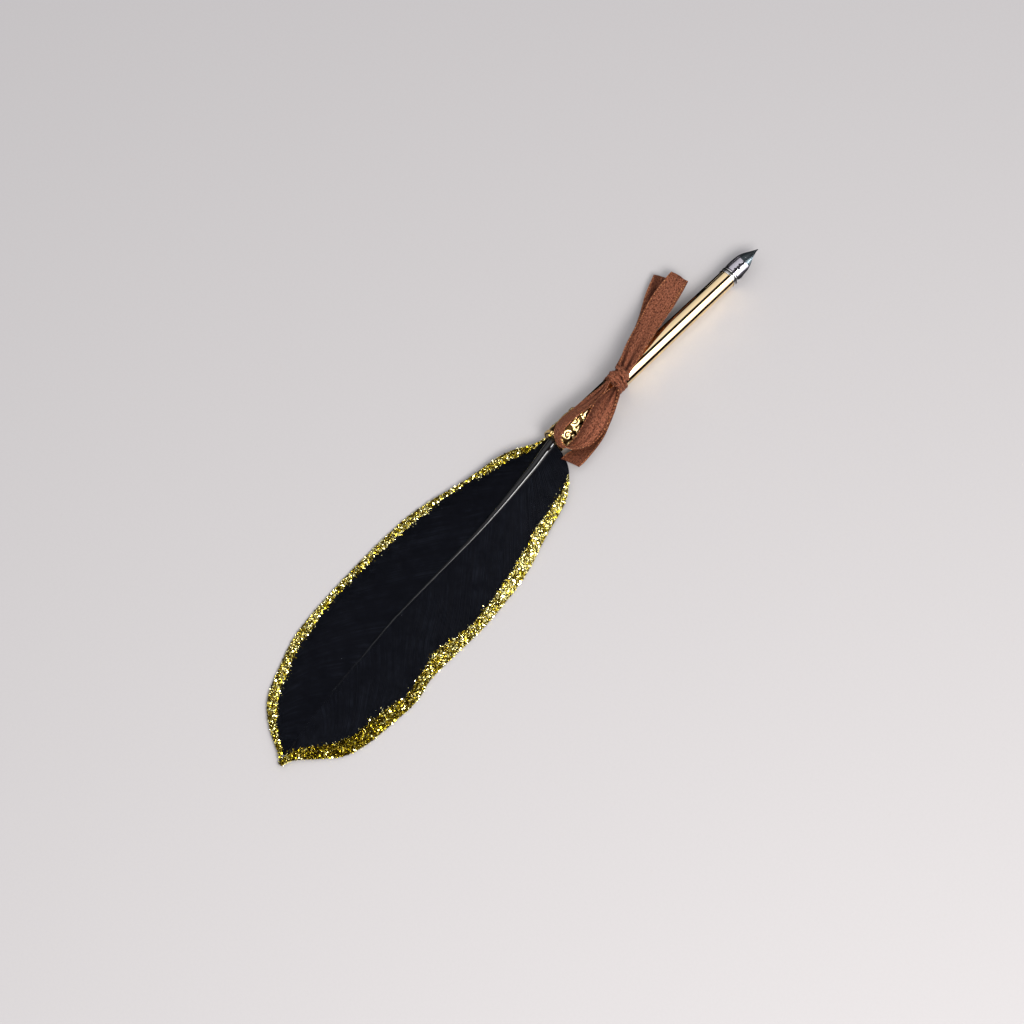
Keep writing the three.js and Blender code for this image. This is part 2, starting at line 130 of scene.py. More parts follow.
def through(points: Sequence[Sequence[float]], shares: Array) -> Array:
    """Follows a centripetal Catmull-Rom curve through points.

    Args:
        points: the points that the curve passes through.
        shares: where to read the curve, from 0 at the first point to 1 at the last.

    Returns:
        One point of the curve for each share.
    """
    p = np.array(points, float)
    p = np.vstack([2 * p[0] - p[1], p, 2 * p[-1] - p[-2]])
    place = np.clip(shares, 0, 1) * (len(p) - 3)
    i = np.minimum(place.astype(int), len(p) - 4)
    t = (place - i)[:, None]
    a, b, c, d = p[i], p[i + 1], p[i + 2], p[i + 3]
    step = [np.maximum(np.sqrt(np.linalg.norm(e - s, axis=1)), 1e-4)[:, None] for s, e in ((a, b), (b, c), (c, d))]
    out = ((b - a) / step[0] - (c - a) / (step[0] + step[1]) + (c - b) / step[1]) * step[1]
    into = ((c - b) / step[1] - (d - b) / (step[1] + step[2]) + (d - c) / step[2]) * step[1]
    rise = t * t * (3 - 2 * t)
    return b * (1 - rise) + c * rise + t * (1 - t) ** 2 * out + t * t * (t - 1) * into


def unit(vectors: Array) -> Array:
    """Gives each vector a length of 1."""
    return vectors / np.maximum(np.linalg.norm(vectors, axis=-1, keepdims=True), 1e-9)


def ramp(value: Array, low: float, high: float) -> Array:
    """Rises smoothly from 0 at low to 1 at high."""
    t = np.clip((np.asarray(value, float) - low) / (high - low), 0, 1)
    return t * t * (3 - 2 * t)


def ripple(u: Array, v: Array, seed: int, waves: int = 7) -> Array:
    """Adds up plane waves of seeded directions into a soft, irregular relief.

    Args:
        u: first coordinate, in wavelengths.
        v: second coordinate, in wavelengths.
        seed: which relief to make.
        waves: how many waves to add.

    Returns:
        A height between about -1 and 1 for each place.
    """
    rng = np.random.default_rng(seed)
    total = np.zeros(np.broadcast(u, v).shape)
    for _ in range(waves):
        turn, rate, phase = rng.uniform(0, TAU), rng.uniform(0.5, 1.6), rng.uniform(0, TAU)
        total = total + np.sin(TAU * rate * (u * math.cos(turn) + v * math.sin(turn)) + phase)
    return total / math.sqrt(waves)


def sweep(path: Array, radius: Array, up: Array, sides: int = 8, flat: float = 1.0) -> Array:
    """Carries an oval section along a path.

    Args:
        path: the points of the path.
        radius: the section's half width at each point.
        up: which way the section's height points, at each point or everywhere.
        sides: corners of the section.
        flat: the section's height as a share of its width.

    Returns:
        One ring of points for each point of the path.
    """
    ahead = unit(np.gradient(path, axis=0))
    across = unit(np.cross(np.broadcast_to(up, path.shape), ahead))
    over = np.cross(ahead, across)
    turn = np.arange(sides) / sides * TAU
    ring = np.cos(turn)[None, :, None] * across[:, None] + flat * np.sin(turn)[None, :, None] * over[:, None]
    return path[:, None] + np.broadcast_to(radius, len(path))[:, None, None] * ring


# ---- The pen's frame and the meshes in it -------------------------------------------------------


@dataclass(frozen=True)
class TubeSizes:
    """The sizes that the tube, the sleeve and what fits to them share, in millimetres."""

    barrel_length: float = 75.0
    barrel_radius: float = 3.22
    barrel_flare: float = 0.28
    barrel_wall: float = 0.45
    ring_radius: float = 3.55
    ring_reach: float = 0.6
    ring_lap: float = 1.2
    sleeve_gap: float = 0.3
    sleeve_length: float = 13.2
    sleeve_radius: float = 4.4
    bow_to_sleeve: float = 17.7

    @property
    def sleeve_front(self) -> float:
        """Where the sleeve starts behind the barrel."""
        return -(self.barrel_length + self.sleeve_gap)

    @property
    def sleeve_back(self) -> float:
        """Where the sleeve ends and the feather comes out."""
        return self.sleeve_front - self.sleeve_length

    @property
    def bow_place(self) -> float:
        """The middle of the bow's knot."""
        return self.sleeve_front + self.bow_to_sleeve

    def barrel_radius_at(self, x: Array) -> Array:
        """The barrel's outer radius at x."""
        return self.barrel_radius - np.asarray(x) / self.barrel_length * self.barrel_flare

    def pen_radius_at(self, x: Array) -> Array:
        """The outer radius at x of what the ribbon lies on."""
        return np.where(np.asarray(x) < self.sleeve_front, self.sleeve_radius, self.barrel_radius_at(x))


@dataclass(frozen=True)
class PenFrame:
    """Where the pen lies in the row's frame."""

    sizes: TubeSizes
    sin: float
    cos: float
    start: Vector

    @classmethod
    def from_model(cls, sizes: TubeSizes) -> "PenFrame":
        """Reads the tilt from the nib's joint and the place from the mouth ring and the barrel.

        Args:
            sizes: the sizes of the tube.

        Returns:
            The pen's frame.
        """
        axis = frame["joints"][0]["axis"]
        cos, sin = axis[0], -axis[2]
        barrel_low, barrel_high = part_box("barrel")
        start = Vector((
            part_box("mouth_ring")[1].x / MM - sizes.ring_reach * cos - sizes.ring_radius * sin,
            (barrel_low.y + barrel_high.y) / 2 / MM,
            sizes.ring_radius * cos + sizes.ring_reach * sin,
        ))
        return cls(sizes, sin, cos, start)

    def table_at(self, x: Array) -> Array:
        """The table's level below the axis at x."""
        return (np.asarray(x) * self.sin - self.start.z) / self.cos

    def pen_top_at(self, x: Array) -> Array:
        """The height of the pen's top above the table at x."""
        return self.sizes.pen_radius_at(x) - self.table_at(x)

    def to_row(self, points: Array) -> Array:
        """Turns points of the pen's frame, in millimetres, into metres in the row's frame.

        Args:
            points: n by 3 places.

        Returns:
            The same places in the row's frame.
        """
        x, y, z = points.T
        row = np.stack([x * self.cos + z * self.sin, y, z * self.cos - x * self.sin], axis=1)
        return (row + np.array(self.start)) * MM


SIZES = TubeSizes()
PEN = PenFrame.from_model(SIZES)


@dataclass
class Shell:
    """Collects the faces of one piece before it becomes an object."""

    marks: tuple[str, ...] = ()
    points: list[Array] = field(default_factory=list)
    quads: list[Array] = field(default_factory=list)
    slots: list[Array] = field(default_factory=list)
    caps: list[tuple[tuple[int, ...], int]] = field(default_factory=list)
    values: list[Array] = field(default_factory=list)
    count: int = 0

    def take(self, points: Array, quads: Array, slot: int = 0, **marks: Array | float) -> int:
        """Adds points and the quads between them.

        Args:
            points: n by 3 places.
            quads: m by 4 numbers of points in this batch.
            slot: which of the piece's materials the quads wear.
            **marks: a value for each point, or one for all, under each name in self.marks.

        Returns:
            The number that the batch's first point has in the whole shell.
        """
        first = self.count
        self.points.append(points)
        self.quads.append(quads + first)
        self.slots.append(np.full(len(quads), slot))
        columns = [np.broadcast_to(np.ravel(marks.get(m, 0.0)), len(points)) for m in self.marks]
        self.values.append(np.stack(columns, axis=1) if columns else np.zeros((len(points), 0)))
        self.count += len(points)
        return first

    def grid(self, rows: Array, wrap: bool = True, ends: bool = True, slot: int = 0, **marks: Array | float) -> None:
        """Adds a sheet of quads through rows of points.

        Args:
            rows: rows by columns by 3 places.
            wrap: whether each row closes on itself.
            ends: whether the first and the last row are filled in.
            slot: which of the piece's materials it wears.
            **marks: values as in take, or one for each row or each column.
        """
        marks = {name: np.broadcast_to(value, rows.shape[:2]) for name, value in marks.items()}
        r, c = rows.shape[:2]
        index = np.arange(r * c).reshape(r, c)
        left = index if wrap else index[:, :-1]
        right = np.roll(index, -1, axis=1) if wrap else index[:, 1:]
        quads = np.stack([left[:-1], right[:-1], right[1:], left[1:]], axis=-1).reshape(-1, 4)
        first = self.take(rows.reshape(-1, 3), quads, slot, **marks)
        if ends:
            self.caps.append((tuple(first + index[0][::-1]), slot))
            self.caps.append((tuple(first + index[-1]), slot))

    def piece(self, name: str, node: str, slot: str, *finishes: Finish, body: str = "pen", smooth: bool = True,
              crisp: float = 50, seam: float = 0) -> None:
        """Makes an object of it that rides on a body and stands for a node.

        Args:
            name: the object's name.
            node: the node of the model that it stands for.
            slot: the name of a material slot of the model; not used.
            *finishes: what the faces of each slot number wear.
            body: the body that it rides on.
            smooth: whether its faces are shaded smooth.
            crisp: the angle in degrees past which an edge is left sharp.
            seam: points nearer to each other than this, in millimetres, are joined.
        """
        faces = np.concatenate(self.quads).tolist() + [cap for cap, _ in self.caps]
        mesh = bpy.data.meshes.new(name)
        mesh.from_pydata(PEN.to_row(np.concatenate(self.points)).tolist(), [], faces)
        numbers = np.concatenate([*self.slots, [number for _, number in self.caps]])
        mesh.polygons.foreach_set("material_index", numbers.astype(np.int32))
        mesh.polygons.foreach_set("use_smooth", np.full(len(faces), smooth))
        for mark, column in zip(self.marks, np.concatenate(self.values).T):
            layer = mesh.attributes.new(mark, "FLOAT", "POINT")
            layer.data.foreach_set("value", np.ascontiguousarray(column, np.float32))
        work = bmesh.new()
        work.from_mesh(mesh)
        if seam:
            bmesh.ops.remove_doubles(work, verts=work.verts, dist=seam * MM)
        bmesh.ops.recalc_face_normals(work, faces=work.faces)
        work.to_mesh(mesh)
        work.free()
        mesh.set_sharp_from_angle(angle=math.radians(crisp))
        mesh.update()
        for finish in finishes:
            mesh.materials.append(finish.build())
        made = bpy.data.objects.new(name, mesh)
        bpy.context.scene.collection.objects.link(made)
        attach(made, body)
        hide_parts(node)
        log.info("%s: %d faces, rides on %s", name, len(mesh.polygons), body)


def lathe(profile: Sequence[tuple[float, float]], sides: int = 128) -> Array:
    """Turns a closed profile about the pen's axis.

    Args:
        profile: (x, radius) points, without the first one repeated.
        sides: points on each ring.

    Returns:
        One ring of points for each point of the profile, and the first ring again.
    """
    x, radius = np.array([*profile, profile[0]], float).T
    turn = np.arange(sides) / sides * TAU
    across = [radius[:, None] * np.cos(turn), radius[:, None] * np.sin(turn)]
    return np.stack([np.broadcast_to(x[:, None], (len(x), sides)), *across], axis=-1)


UP = np.array([0, 0, 1.0])


def slab(top: Array, under: Array) -> Array:
    """Joins what is known of an upper and an under surface into rows that go round both."""
    return np.concatenate([top, under[:, ::-1]], axis=1)


def rounded(corners: Sequence[tuple[float, float, float]], steps: int = 4) -> list[tuple[float, float]]:
    """Rounds the corners of a closed profile.

    Args:
        corners: (x, radius, rounding) of each corner, in order round the profile.
        steps: points on each rounded corner, less one.

    Returns:
        The points of the rounded profile.
    """
    out: list[tuple[float, float]] = []
    places = [np.array(c[:2], float) for c in corners]
    for i, (corner, (_, _, size)) in enumerate(zip(places, corners)):
        back, ahead = unit(places[i - 1] - corner), unit(places[(i + 1) % len(places)] - corner)
        for t in np.linspace(0, 1, steps + 1) if size else [0.5]:
            out.append(tuple(corner + size * ((1 - t) ** 2 * back + t ** 2 * ahead)))
    return out


# ---- Shader trees -------------------------------------------------------------------------------

Value = float | tuple | bpy.types.NodeSocket


class Sheet:
    """Places nodes in a tree and joins them by name."""

    def __init__(self, tree: bpy.types.NodeTree) -> None:
        """Starts on a tree."""
        self.tree = tree

    def feed(self, node: bpy.types.Node, inputs: dict[str | int, Value]) -> None:
        """Feeds the inputs of a node.

        Args:
            node: the node.
            inputs: a value, or another node's output, for each named or numbered input.
        """
        for key, value in inputs.items():
            if isinstance(value, bpy.types.NodeSocket):
                self.tree.links.new(value, node.inputs[key])
            else:
                node.inputs[key].default_value = value

    def node(self, kind: str, inputs: dict[str | int, Value] | None = None, **settings: object) -> bpy.types.Node:
        """Adds a node.

        Args:
            kind: the node's type, without its ShaderNode prefix.
            inputs: what it is fed, as in feed.
            **settings: the node's own properties.

        Returns:
            The new node.
        """
        made = self.tree.nodes.new("ShaderNode" + kind)
        for key, value in settings.items():
            setattr(made, key, value)
        self.feed(made, inputs or {})
        return made

    def effect(self, tree: bpy.types.NodeTree, **inputs: Value) -> bpy.types.bpy_prop_collection:
        """Adds a node group and gives its outputs."""
        return self.node("Group", inputs, node_tree=tree).outputs

    def math(self, operation: str, *values: Value) -> bpy.types.NodeSocket:
        """Adds a Math node and gives its result."""
        return self.node("Math", dict(enumerate(values)), operation=operation).outputs[0]

    def scaled(self, value: Value, by: Value, plus: Value = 0.0) -> bpy.types.NodeSocket:
        """Multiplies a value and adds to it."""
        return self.math("MULTIPLY_ADD", value, by, plus)

    def mix(self, share: Value, a: Value, b: Value) -> bpy.types.NodeSocket:
        """Mixes two colours."""
        return self.node("Mix", {0: share, 6: a, 7: b}, data_type="RGBA").outputs[2]

    def ramp(self, value: Value, low: float, high: float, start: float = 0.0,
             end: float = 1.0) -> bpy.types.NodeSocket:
        """Maps the range from low to high smoothly onto the one from start to end."""
        inputs = {"Value": value, "From Min": low, "From Max": high, "To Min": start, "To Max": end}
        return self.node("MapRange", inputs, interpolation_type="SMOOTHSTEP").outputs[0]

    def mark(self, name: str) -> bpy.types.NodeSocket:
        """Reads one of the mesh's marks."""
        return self.node("Attribute", attribute_name=name).outputs["Fac"]

    def place(self, stretch: tuple[float, float, float] = (1, 1, 1)) -> bpy.types.NodeSocket:
        """The place on the piece in millimetres, stretched along each axis."""
        scale = tuple(s / MM for s in stretch)
        return self.node("Mapping", {"Vector": self.node("TexCoord").outputs["Object"], "Scale": scale}).outputs[0]

    def noise(self, vector: Value, scale: Value, detail: float = 3.0) -> bpy.types.NodeSocket:
        """A soft noise between 0 and 1."""
        return self.node("TexNoise", {"Vector": vector, "Scale": scale, "Detail": detail}).outputs["Fac"]

    def bump(self, height: Value, distance: float) -> bpy.types.NodeSocket:
        """A normal from a height, whose full range is distance millimetres."""
        return self.node("Bump", {"Height": height, "Distance": distance * MM, "Strength": 1.0}).outputs[0]


Sockets = dict[str, bpy.types.NodeSocket]


def group(name: str, inputs: dict[str, float], build: Callable[[Sheet, Sockets], Sockets]) -> bpy.types.NodeTree:
    """Makes a shader node group.

    Args:
        name: the group's name.
        inputs: the start value of each number that it takes.
        build: places its nodes, given a sheet on its tree and its input sockets, and gives its outputs by name.

    Returns:
        The group.
    """
    tree = bpy.data.node_groups.new(name, "ShaderNodeTree")
    for label, start in inputs.items():
        tree.interface.new_socket(label, in_out="INPUT", socket_type="NodeSocketFloat").default_value = start
    made = build(Sheet(tree), tree.nodes.new("NodeGroupInput").outputs)
    for label in made:
        tree.interface.new_socket(label, in_out="OUTPUT", socket_type="NodeSocketFloat")
    result = tree.nodes.new("NodeGroupOutput")
    for label, socket in made.items():
        tree.links.new(socket, result.inputs[label])
    return tree


def handling(s: Sheet, given: Sockets) -> Sockets:
    """Fine marks of handling on polished metal: hair scratches along it and soft smudges.

    Args:
        s: a sheet on the group's tree.
        given: Roughness and Smudge, how much a smudge adds to it.

    Returns:
        Roughness, Height and Smudge.
    """
    hair = s.noise(s.place((0.4, 9, 9)), 1.6, 4)
    smudge = s.ramp(s.noise(s.place((0.12, 0.5, 0.5)), 1.0, 3), 0.42, 0.72)
    rough = s.scaled(smudge, given["Smudge"], given["Roughness"])
    return {"Roughness": s.scaled(s.ramp(hair, 0.6, 0.8), 0.03, rough), "Height": hair, "Smudge": smudge}


def thread(s: Sheet, given: Sockets) -> Sockets:
    """A plain weave, read from how far a place lies along and across the ribbon.

    Args:
        s: a sheet on the group's tree.
        given: Along, Across and Pitch, in millimetres.

    Returns:
        Thread, the height of the weave, and Unevenness, the slubs in it.
    """
    vector = s.node("CombineXYZ", {0: given["Along"], 1: given["Across"]}).outputs[0]
    stray = s.math("MULTIPLY", s.noise(vector, 0.7, 2), 1.2)
    waves = []
    for label, share in (("Along", 1.0), ("Across", 1.5)):
        count = s.math("DIVIDE", given[label], given["Pitch"])
        waves.append(s.math("SINE", s.math("MULTIPLY", s.scaled(count, share, stray), TAU)))
    slub = s.node("Mapping", {"Vector": vector, "Scale": (1.1, 2.6, 1)}).outputs[0]
    return {"Thread": s.scaled(s.math("MULTIPLY", *waves), 0.5, 0.5), "Unevenness": s.noise(slub, 1.0, 5)}


def strands(s: Sheet, given: Sockets) -> Sockets:
    """Fine lines along the barbs and the quill, with a few bright specks of dust.

    Args:
        s: a sheet on the group's tree.
        given: Along, Across and Height, how fast the lines change that way, and Scale.

    Returns:
        Line and Speck, each between 0 and 1.
    """
    axes = s.node("SeparateXYZ", {0: s.place()}).outputs
    turned = [s.math("MULTIPLY", axes[i], given[label]) for i, label in enumerate(("Along", "Across", "Height"))]
    line = s.noise(s.node("CombineXYZ", dict(enumerate(turned))).outputs[0], given["Scale"], 5)
    cell = s.node("TexVoronoi", {"Vector": s.place(), "Scale": 0.2}, feature="F1")
    return {"Line": line, "Speck": s.ramp(cell.outputs["Distance"], 0.028, 0.016)}


HANDLING = group("handling", {"Roughness": 0.1, "Smudge": 0.05}, handling)
THREAD = group("thread", {"Along": 0, "Across": 0, "Pitch": 0.4}, thread)
STRANDS = group("strands", {"Along": 1, "Across": 1, "Height": 1, "Scale": 1}, strands)


Colour = tuple[float, float, float, float]


@dataclass(frozen=True)
class Finish:
    """What a piece wears: a Principled material, whose sockets each kind of finish works out."""

    name: str

    def sockets(self, s: Sheet) -> dict[str, Value]:
        """Places the material's nodes.

        Args:
            s: a sheet on the material's tree.

        Returns:
            A value or a link for each input of the Principled shader that it sets, by name.
        """
        raise NotImplementedError

    def build(self) -> bpy.types.Material:
        """Makes the material.

        Returns:
            The new material.
        """
        material = bpy.data.materials.new(self.name)
        material.use_nodes = True
        s = Sheet(material.node_tree)
        s.feed(material.node_tree.nodes["Principled BSDF"], self.sockets(s))
        return material


@dataclass(frozen=True)
class PolishedMetal(Finish):
    """Plated or polished metal with marks of handling and, where marked, recesses painted dark as shade."""

    colour: Colour
    recess: Colour = (0.02, 0.02, 0.02, 1)
    roughness: float = 0.08
    smudge: float = 0.05
    scratch: float = 0.002
    recess_shade_mark: str = ""

    def sockets(self, s: Sheet) -> dict[str, Value]:
        """Places the material's nodes.

        Args:
            s: a sheet on the material's tree.

        Returns:
            What each input is fed, as in Finish.
        """
        worn = s.effect(HANDLING, Roughness=self.roughness, Smudge=self.smudge)
        dull = tuple(c * 0.9 for c in self.colour[:3]) + (1.0,)
        colour = s.mix(s.math("MULTIPLY", worn["Smudge"], 0.5), self.colour, dull)
        rough = worn["Roughness"]
        if self.recess_shade_mark:
            # Painted shade: marked recesses are mixed towards a dark colour.
            deep = s.mark(self.recess_shade_mark)
            colour = s.mix(deep, colour, self.recess)
            rough = s.scaled(deep, 0.3, rough)
        normal = s.bump(worn["Height"], self.scratch)
        return {"Base Color": colour, "Roughness": rough, "Metallic": 1.0, "Normal": normal}


@dataclass(frozen=True)
class NibSteel(Finish):
    """Bright engraved steel that turns into blued, almost black tines, with the engraving and painted shade along the
    body's sides in near black.
    """

    name: str = "nib_steel_engraved"
    bright: Colour = (0.6, 0.575, 0.65, 1)
    patina: Colour = (0.42, 0.4, 0.49, 1)
    cut: Colour = (0.012, 0.012, 0.015, 1)
    blued: Colour = (0.045, 0.056, 0.066, 1)
    paler_blue: Colour = (0.075, 0.092, 0.1, 1)
    roughness: float = 0.12
    smudge: float = 0.08

    def sockets(self, s: Sheet) -> dict[str, Value]:
        """Places the material's nodes.

        Args:
            s: a sheet on the material's tree.

        Returns:
            What each input is fed, as in Finish.
        """
        worn = s.effect(HANDLING, Roughness=self.roughness, Smudge=self.smudge)
        grain = s.noise(s.place((1, 4, 4)), 2.5, 5)
        body = s.mix(s.ramp(grain, 0.45, 0.7), self.bright, self.patina)
        heat = s.mix(s.ramp(grain, 0.3, 0.75), self.blued, self.paler_blue)
        tine, cut = s.mark("tine"), s.mark("engraved")
        # Near black where the engraved mark is set: the engraving, and painted shade along the body's sides.
        colour = s.mix(cut, s.mix(tine, body, heat), self.cut)
        rough = s.scaled(cut, 0.3, s.scaled(tine, 0.16, worn["Roughness"]))
        return {"Base Color": colour, "Roughness": rough, "Metallic": 1.0, "Normal": s.bump(grain, 0.004)}


@dataclass(frozen=True)
class Quill(Finish):
    """Dyed keratin: nearly black with fine lines along it, and glossy where it is bare."""

    name: str = "quill_black_gloss"
    colour: Colour = (0.0022, 0.0024, 0.0034, 1)
    pale: Colour = (0.012, 0.013, 0.016, 1)
    roughness: float = 0.06
    gloss: float = 0.5

    def sockets(self, s: Sheet) -> dict[str, Value]:
        """Places the material's nodes.

        Args:
            s: a sheet on the material's tree.

        Returns:
            What each input is fed, as in Finish.
        """
        line = s.effect(STRANDS, Along=0.05, Across=3, Height=3, Scale=1.4)["Line"]
        streak = s.ramp(line, 0.45, 0.75)
        return {
            "Base Color": s.mix(streak, self.colour, self.pale), "Roughness": s.scaled(streak, 0.05, self.roughness),
            "Specular IOR Level": s.math("MULTIPLY", s.mark("bare"), self.gloss), "Normal": s.bump(line, 0.006),
        }


@dataclass(frozen=True)
class Barbs(Finish):
    """Dyed barbs: deep blue-black with a trace of sheen and a few specks of dust."""

    name: str = "barbs_blue_black"
    deep: Colour = (0.001, 0.0013, 0.0024, 1)
    faded: Colour = (0.0055, 0.0066, 0.0098, 1)
    dust: Colour = (0.09, 0.095, 0.11, 1)
    roughness: float = 0.5
    gloss: float = 0.035

    def sockets(self, s: Sheet) -> dict[str, Value]:
        """Places the material's nodes.

        Args:
            s: a sheet on the material's tree.

        Returns:
            What each input is fed, as in Finish.
        """
        lines = s.effect(STRANDS, Along=0.35, Across=0.35, Height=1, Scale=0.6)
        own = s.mark("strand")
        share = s.math("MULTIPLY", s.ramp(lines["Line"], 0.35, 0.75), own)
        return {
            "Base Color": s.mix(lines["Speck"], s.mix(share, self.deep, self.faded), self.dust),
            "Roughness": s.scaled(own, 0.25, self.roughness), "Specular IOR Level": self.gloss,
            "Normal": s.bump(lines["Line"], 0.03),
        }


@dataclass(frozen=True)
class Glitter(Finish):
    """Coarse olive-gold glitter: each flake has a tint of its own."""

    name: str = "glitter_olive_gold"
    bright: Colour = (0.94, 0.9, 0.5, 1)
    olive: Colour = (0.37, 0.29, 0.015, 1)
    deep: Colour = (0.035, 0.022, 0.002, 1)
    roughness: float = 0.22

    def sockets(self, s: Sheet) -> dict[str, Value]:
        """Places the material's nodes.

        Args:
            s: a sheet on the material's tree.

        Returns:
            What each input is fed, as in Finish.
        """
        tint, grime = s.mark("tint"), s.noise(s.place(), 0.9, 4)
        colour = s.mix(s.ramp(tint, 0.5, 0.85), self.olive, self.bright)
        colour = s.mix(s.ramp(tint, 0.42, 0.2), colour, self.deep)
        colour = s.mix(s.ramp(grime, 0.55, 0.8, 0, 0.5), colour, self.deep)
        rough = s.scaled(tint, -0.12, self.roughness)
        return {"Base Color": colour, "Roughness": rough, "Metallic": 1.0, "Normal": s.bump(grime, 0.03)}


@dataclass(frozen=True)
class Satin(Finish):
    """Woven ribbon: painted highlights on raised threads, painted shade in the weave's hollows and wherever marked,
    and slubs. glinting threads over a dark ground, slubs, and folds that keep the shade.
    """

    colour: Colour
    # shade is the colour of the painted shade, towards which the slubs also lean; light is the painted highlight on
    # raised threads.
    shade: Colour
    light: Colour
    pitch: float = 0.6
    roughness: float = 0.46
    relief: float = 0.12

    def sockets(self, s: Sheet) -> dict[str, Value]:
        """Places the material's nodes.

        Args:
            s: a sheet on the material's tree.

        Returns:
            What each input is fed, as in Finish.
        """
        weave = s.effect(THREAD, Along=s.mark("along"), Across=s.mark("across"), Pitch=self.pitch)
        uneven, raised = weave["Unevenness"], weave["Thread"]
        colour = s.mix(s.ramp(uneven, 0.3, 0.6), self.shade, self.colour)
        # Painted highlight on the raised threads, varying with the slubs.
        lit = s.math("MULTIPLY", s.ramp(raised, 0.3, 0.95), s.ramp(uneven, 0.36, 0.62, 0.18, 1))
        colour = s.mix(lit, colour, self.light)
        # Painted shade in the weave's hollows and where the mark of painted shade is set.
        for dark in (s.ramp(raised, 0.38, 0.08, 0, 0.95), s.mark("fold")):
            colour = s.mix(dark, colour, self.shade)
        return {
            "Base Color": colour, "Roughness": s.scaled(uneven, 0.25, self.roughness - 0.12),
            "Specular IOR Level": 0.06, "Sheen Weight": 0.015, "Sheen Roughness": 0.4,
            "Sheen Tint": (0.95, 0.6, 0.45, 1), "Normal": s.bump(s.scaled(uneven, 0.6, raised), self.relief),
        }


@dataclass(frozen=True)
class Plain(Finish):
    """A matt or satin material with a soft grain, for what is hardly seen."""

    colour: Colour
    other: Colour
    roughness: float
    grain: float = 2.0
    depth: float = 0.02
    gloss: float = 0.5

    def sockets(self, s: Sheet) -> dict[str, Value]:
        """Places the material's nodes.

        Args:
            s: a sheet on the material's tree.

        Returns:
            What each input is fed, as in Finish.
        """
        grain = s.noise(s.place(), self.grain, 5)
        return {
            "Base Color": s.mix(s.ramp(grain, 0.35, 0.7), self.colour, self.other),
            "Roughness": s.scaled(grain, 0.2, self.roughness - 0.1), "Specular IOR Level": self.gloss,
            "Normal": s.bump(grain, self.depth),
        }


# ---- Tube, ring and what is inside it -----------------------------------------------------------


@dataclass
class Tube:
    """The polished barrel with the bright ring on its mouth, and the plain pieces inside."""

    sizes: TubeSizes = SIZES
    barrel_front: float = -0.1
    barrel_rim: float = 0.14
    mouth_radius: float = 2.47
    lap_gap: float = 0.1
    groove: float = 0.24
    gold: PolishedMetal = PolishedMetal(
        "gold_polished", (0.97, 0.76, 0.46, 1), (0.2, 0.1, 0.03, 1), 0.03, 0.015, 0.0006)
    chrome: PolishedMetal = PolishedMetal(
        "chrome_ring", (0.86, 0.86, 0.88, 1), (0.02, 0.02, 0.02, 1), 0.06, 0.03, recess_shade_mark="recess")
    brass: PolishedMetal = PolishedMetal("brass_turned", (0.75, 0.55, 0.25, 1), (0.2, 0.1, 0.03, 1), 0.22, 0.1, 0.01)
    spring: PolishedMetal = PolishedMetal("spring_steel", (0.6, 0.6, 0.63, 1), (0.02, 0.02, 0.02, 1), 0.2, 0.1, 0.006)
    rubber: Plain = Plain("rubber_core", (0.012, 0.012, 0.013, 1), (0.03, 0.03, 0.032, 1), 0.6)

    def barrel(self) -> None:
        """The barrel: a tube that widens towards the back, with eased rims."""
        z, rim = self.sizes, self.barrel_rim
        back, front = -z.barrel_length, self.barrel_front
        bore = z.barrel_radius - z.barrel_wall
        outer = [(x, float(z.barrel_radius_at(x)), 0.0) for x in np.linspace(front, back, 40)[1:-1]]
        profile = rounded([
            (front, float(z.barrel_radius_at(front)), rim), *outer,
            (back, float(z.barrel_radius_at(back)), rim), (back, bore, rim), (front, bore, rim),
        ])
        shell = Shell()
        shell.grid(lathe(profile, 160), ends=False)
        shell.piece("barrel_polished", "barrel", "barrel_gold", self.gold)

    def ring(self) -> None:
        """The mouth ring: a rounded band with a groove near its back that is painted dark as shade."""
        z = self.sizes
        outer, front, back = z.ring_radius, z.ring_reach, -z.ring_lap
        lip, lap, floor = self.mouth_radius, z.barrel_radius + self.lap_gap, z.ring_radius - self.groove
        rings = lathe(rounded([
            (front, lip, 0.05), (front, outer - 0.05, 0.16), (0.2, outer, 0.08), (0.12, floor, 0.05),
            (-0.9, floor, 0.05), (-0.97, outer - 0.04, 0.08), (back, outer - 0.04, 0.06), (back, lap, 0.03),
            (0, lap, 0.03), (0, lip, 0.03),
        ]))
        radius = np.linalg.norm(rings[..., 1:], axis=-1)
        groove_middle, groove_half = -0.39, 0.56
        # Painted shade in the groove.
        deep = ramp(radius, outer - 0.08, floor + 0.02) * (np.abs(rings[..., 0] - groove_middle) < groove_half)
        shell = Shell(marks=("recess",))
        shell.grid(rings, ends=False, recess=deep)
        shell.piece("mouth_ring_bright", "mouth_ring", "ring_chrome", self.chrome)

    def hidden(self) -> None:
        """Dresses the model's own nodes inside the tube."""
        for node, finish in (("nib_core", self.rubber), ("nib_clamp", self.spring), ("feather_socket", self.brass)):
            mesh = frame["nodes"][node].data
            mesh.materials.clear()
            mesh.materials.append(finish.build())
            log.info("%s: keeps its own shape", node)

    def build(self) -> None:
        """Makes every piece of the tube."""
        self.barrel()
        self.ring()
        self.hidden()


# ---- Nib ----------------------------------------------------------------------------------------


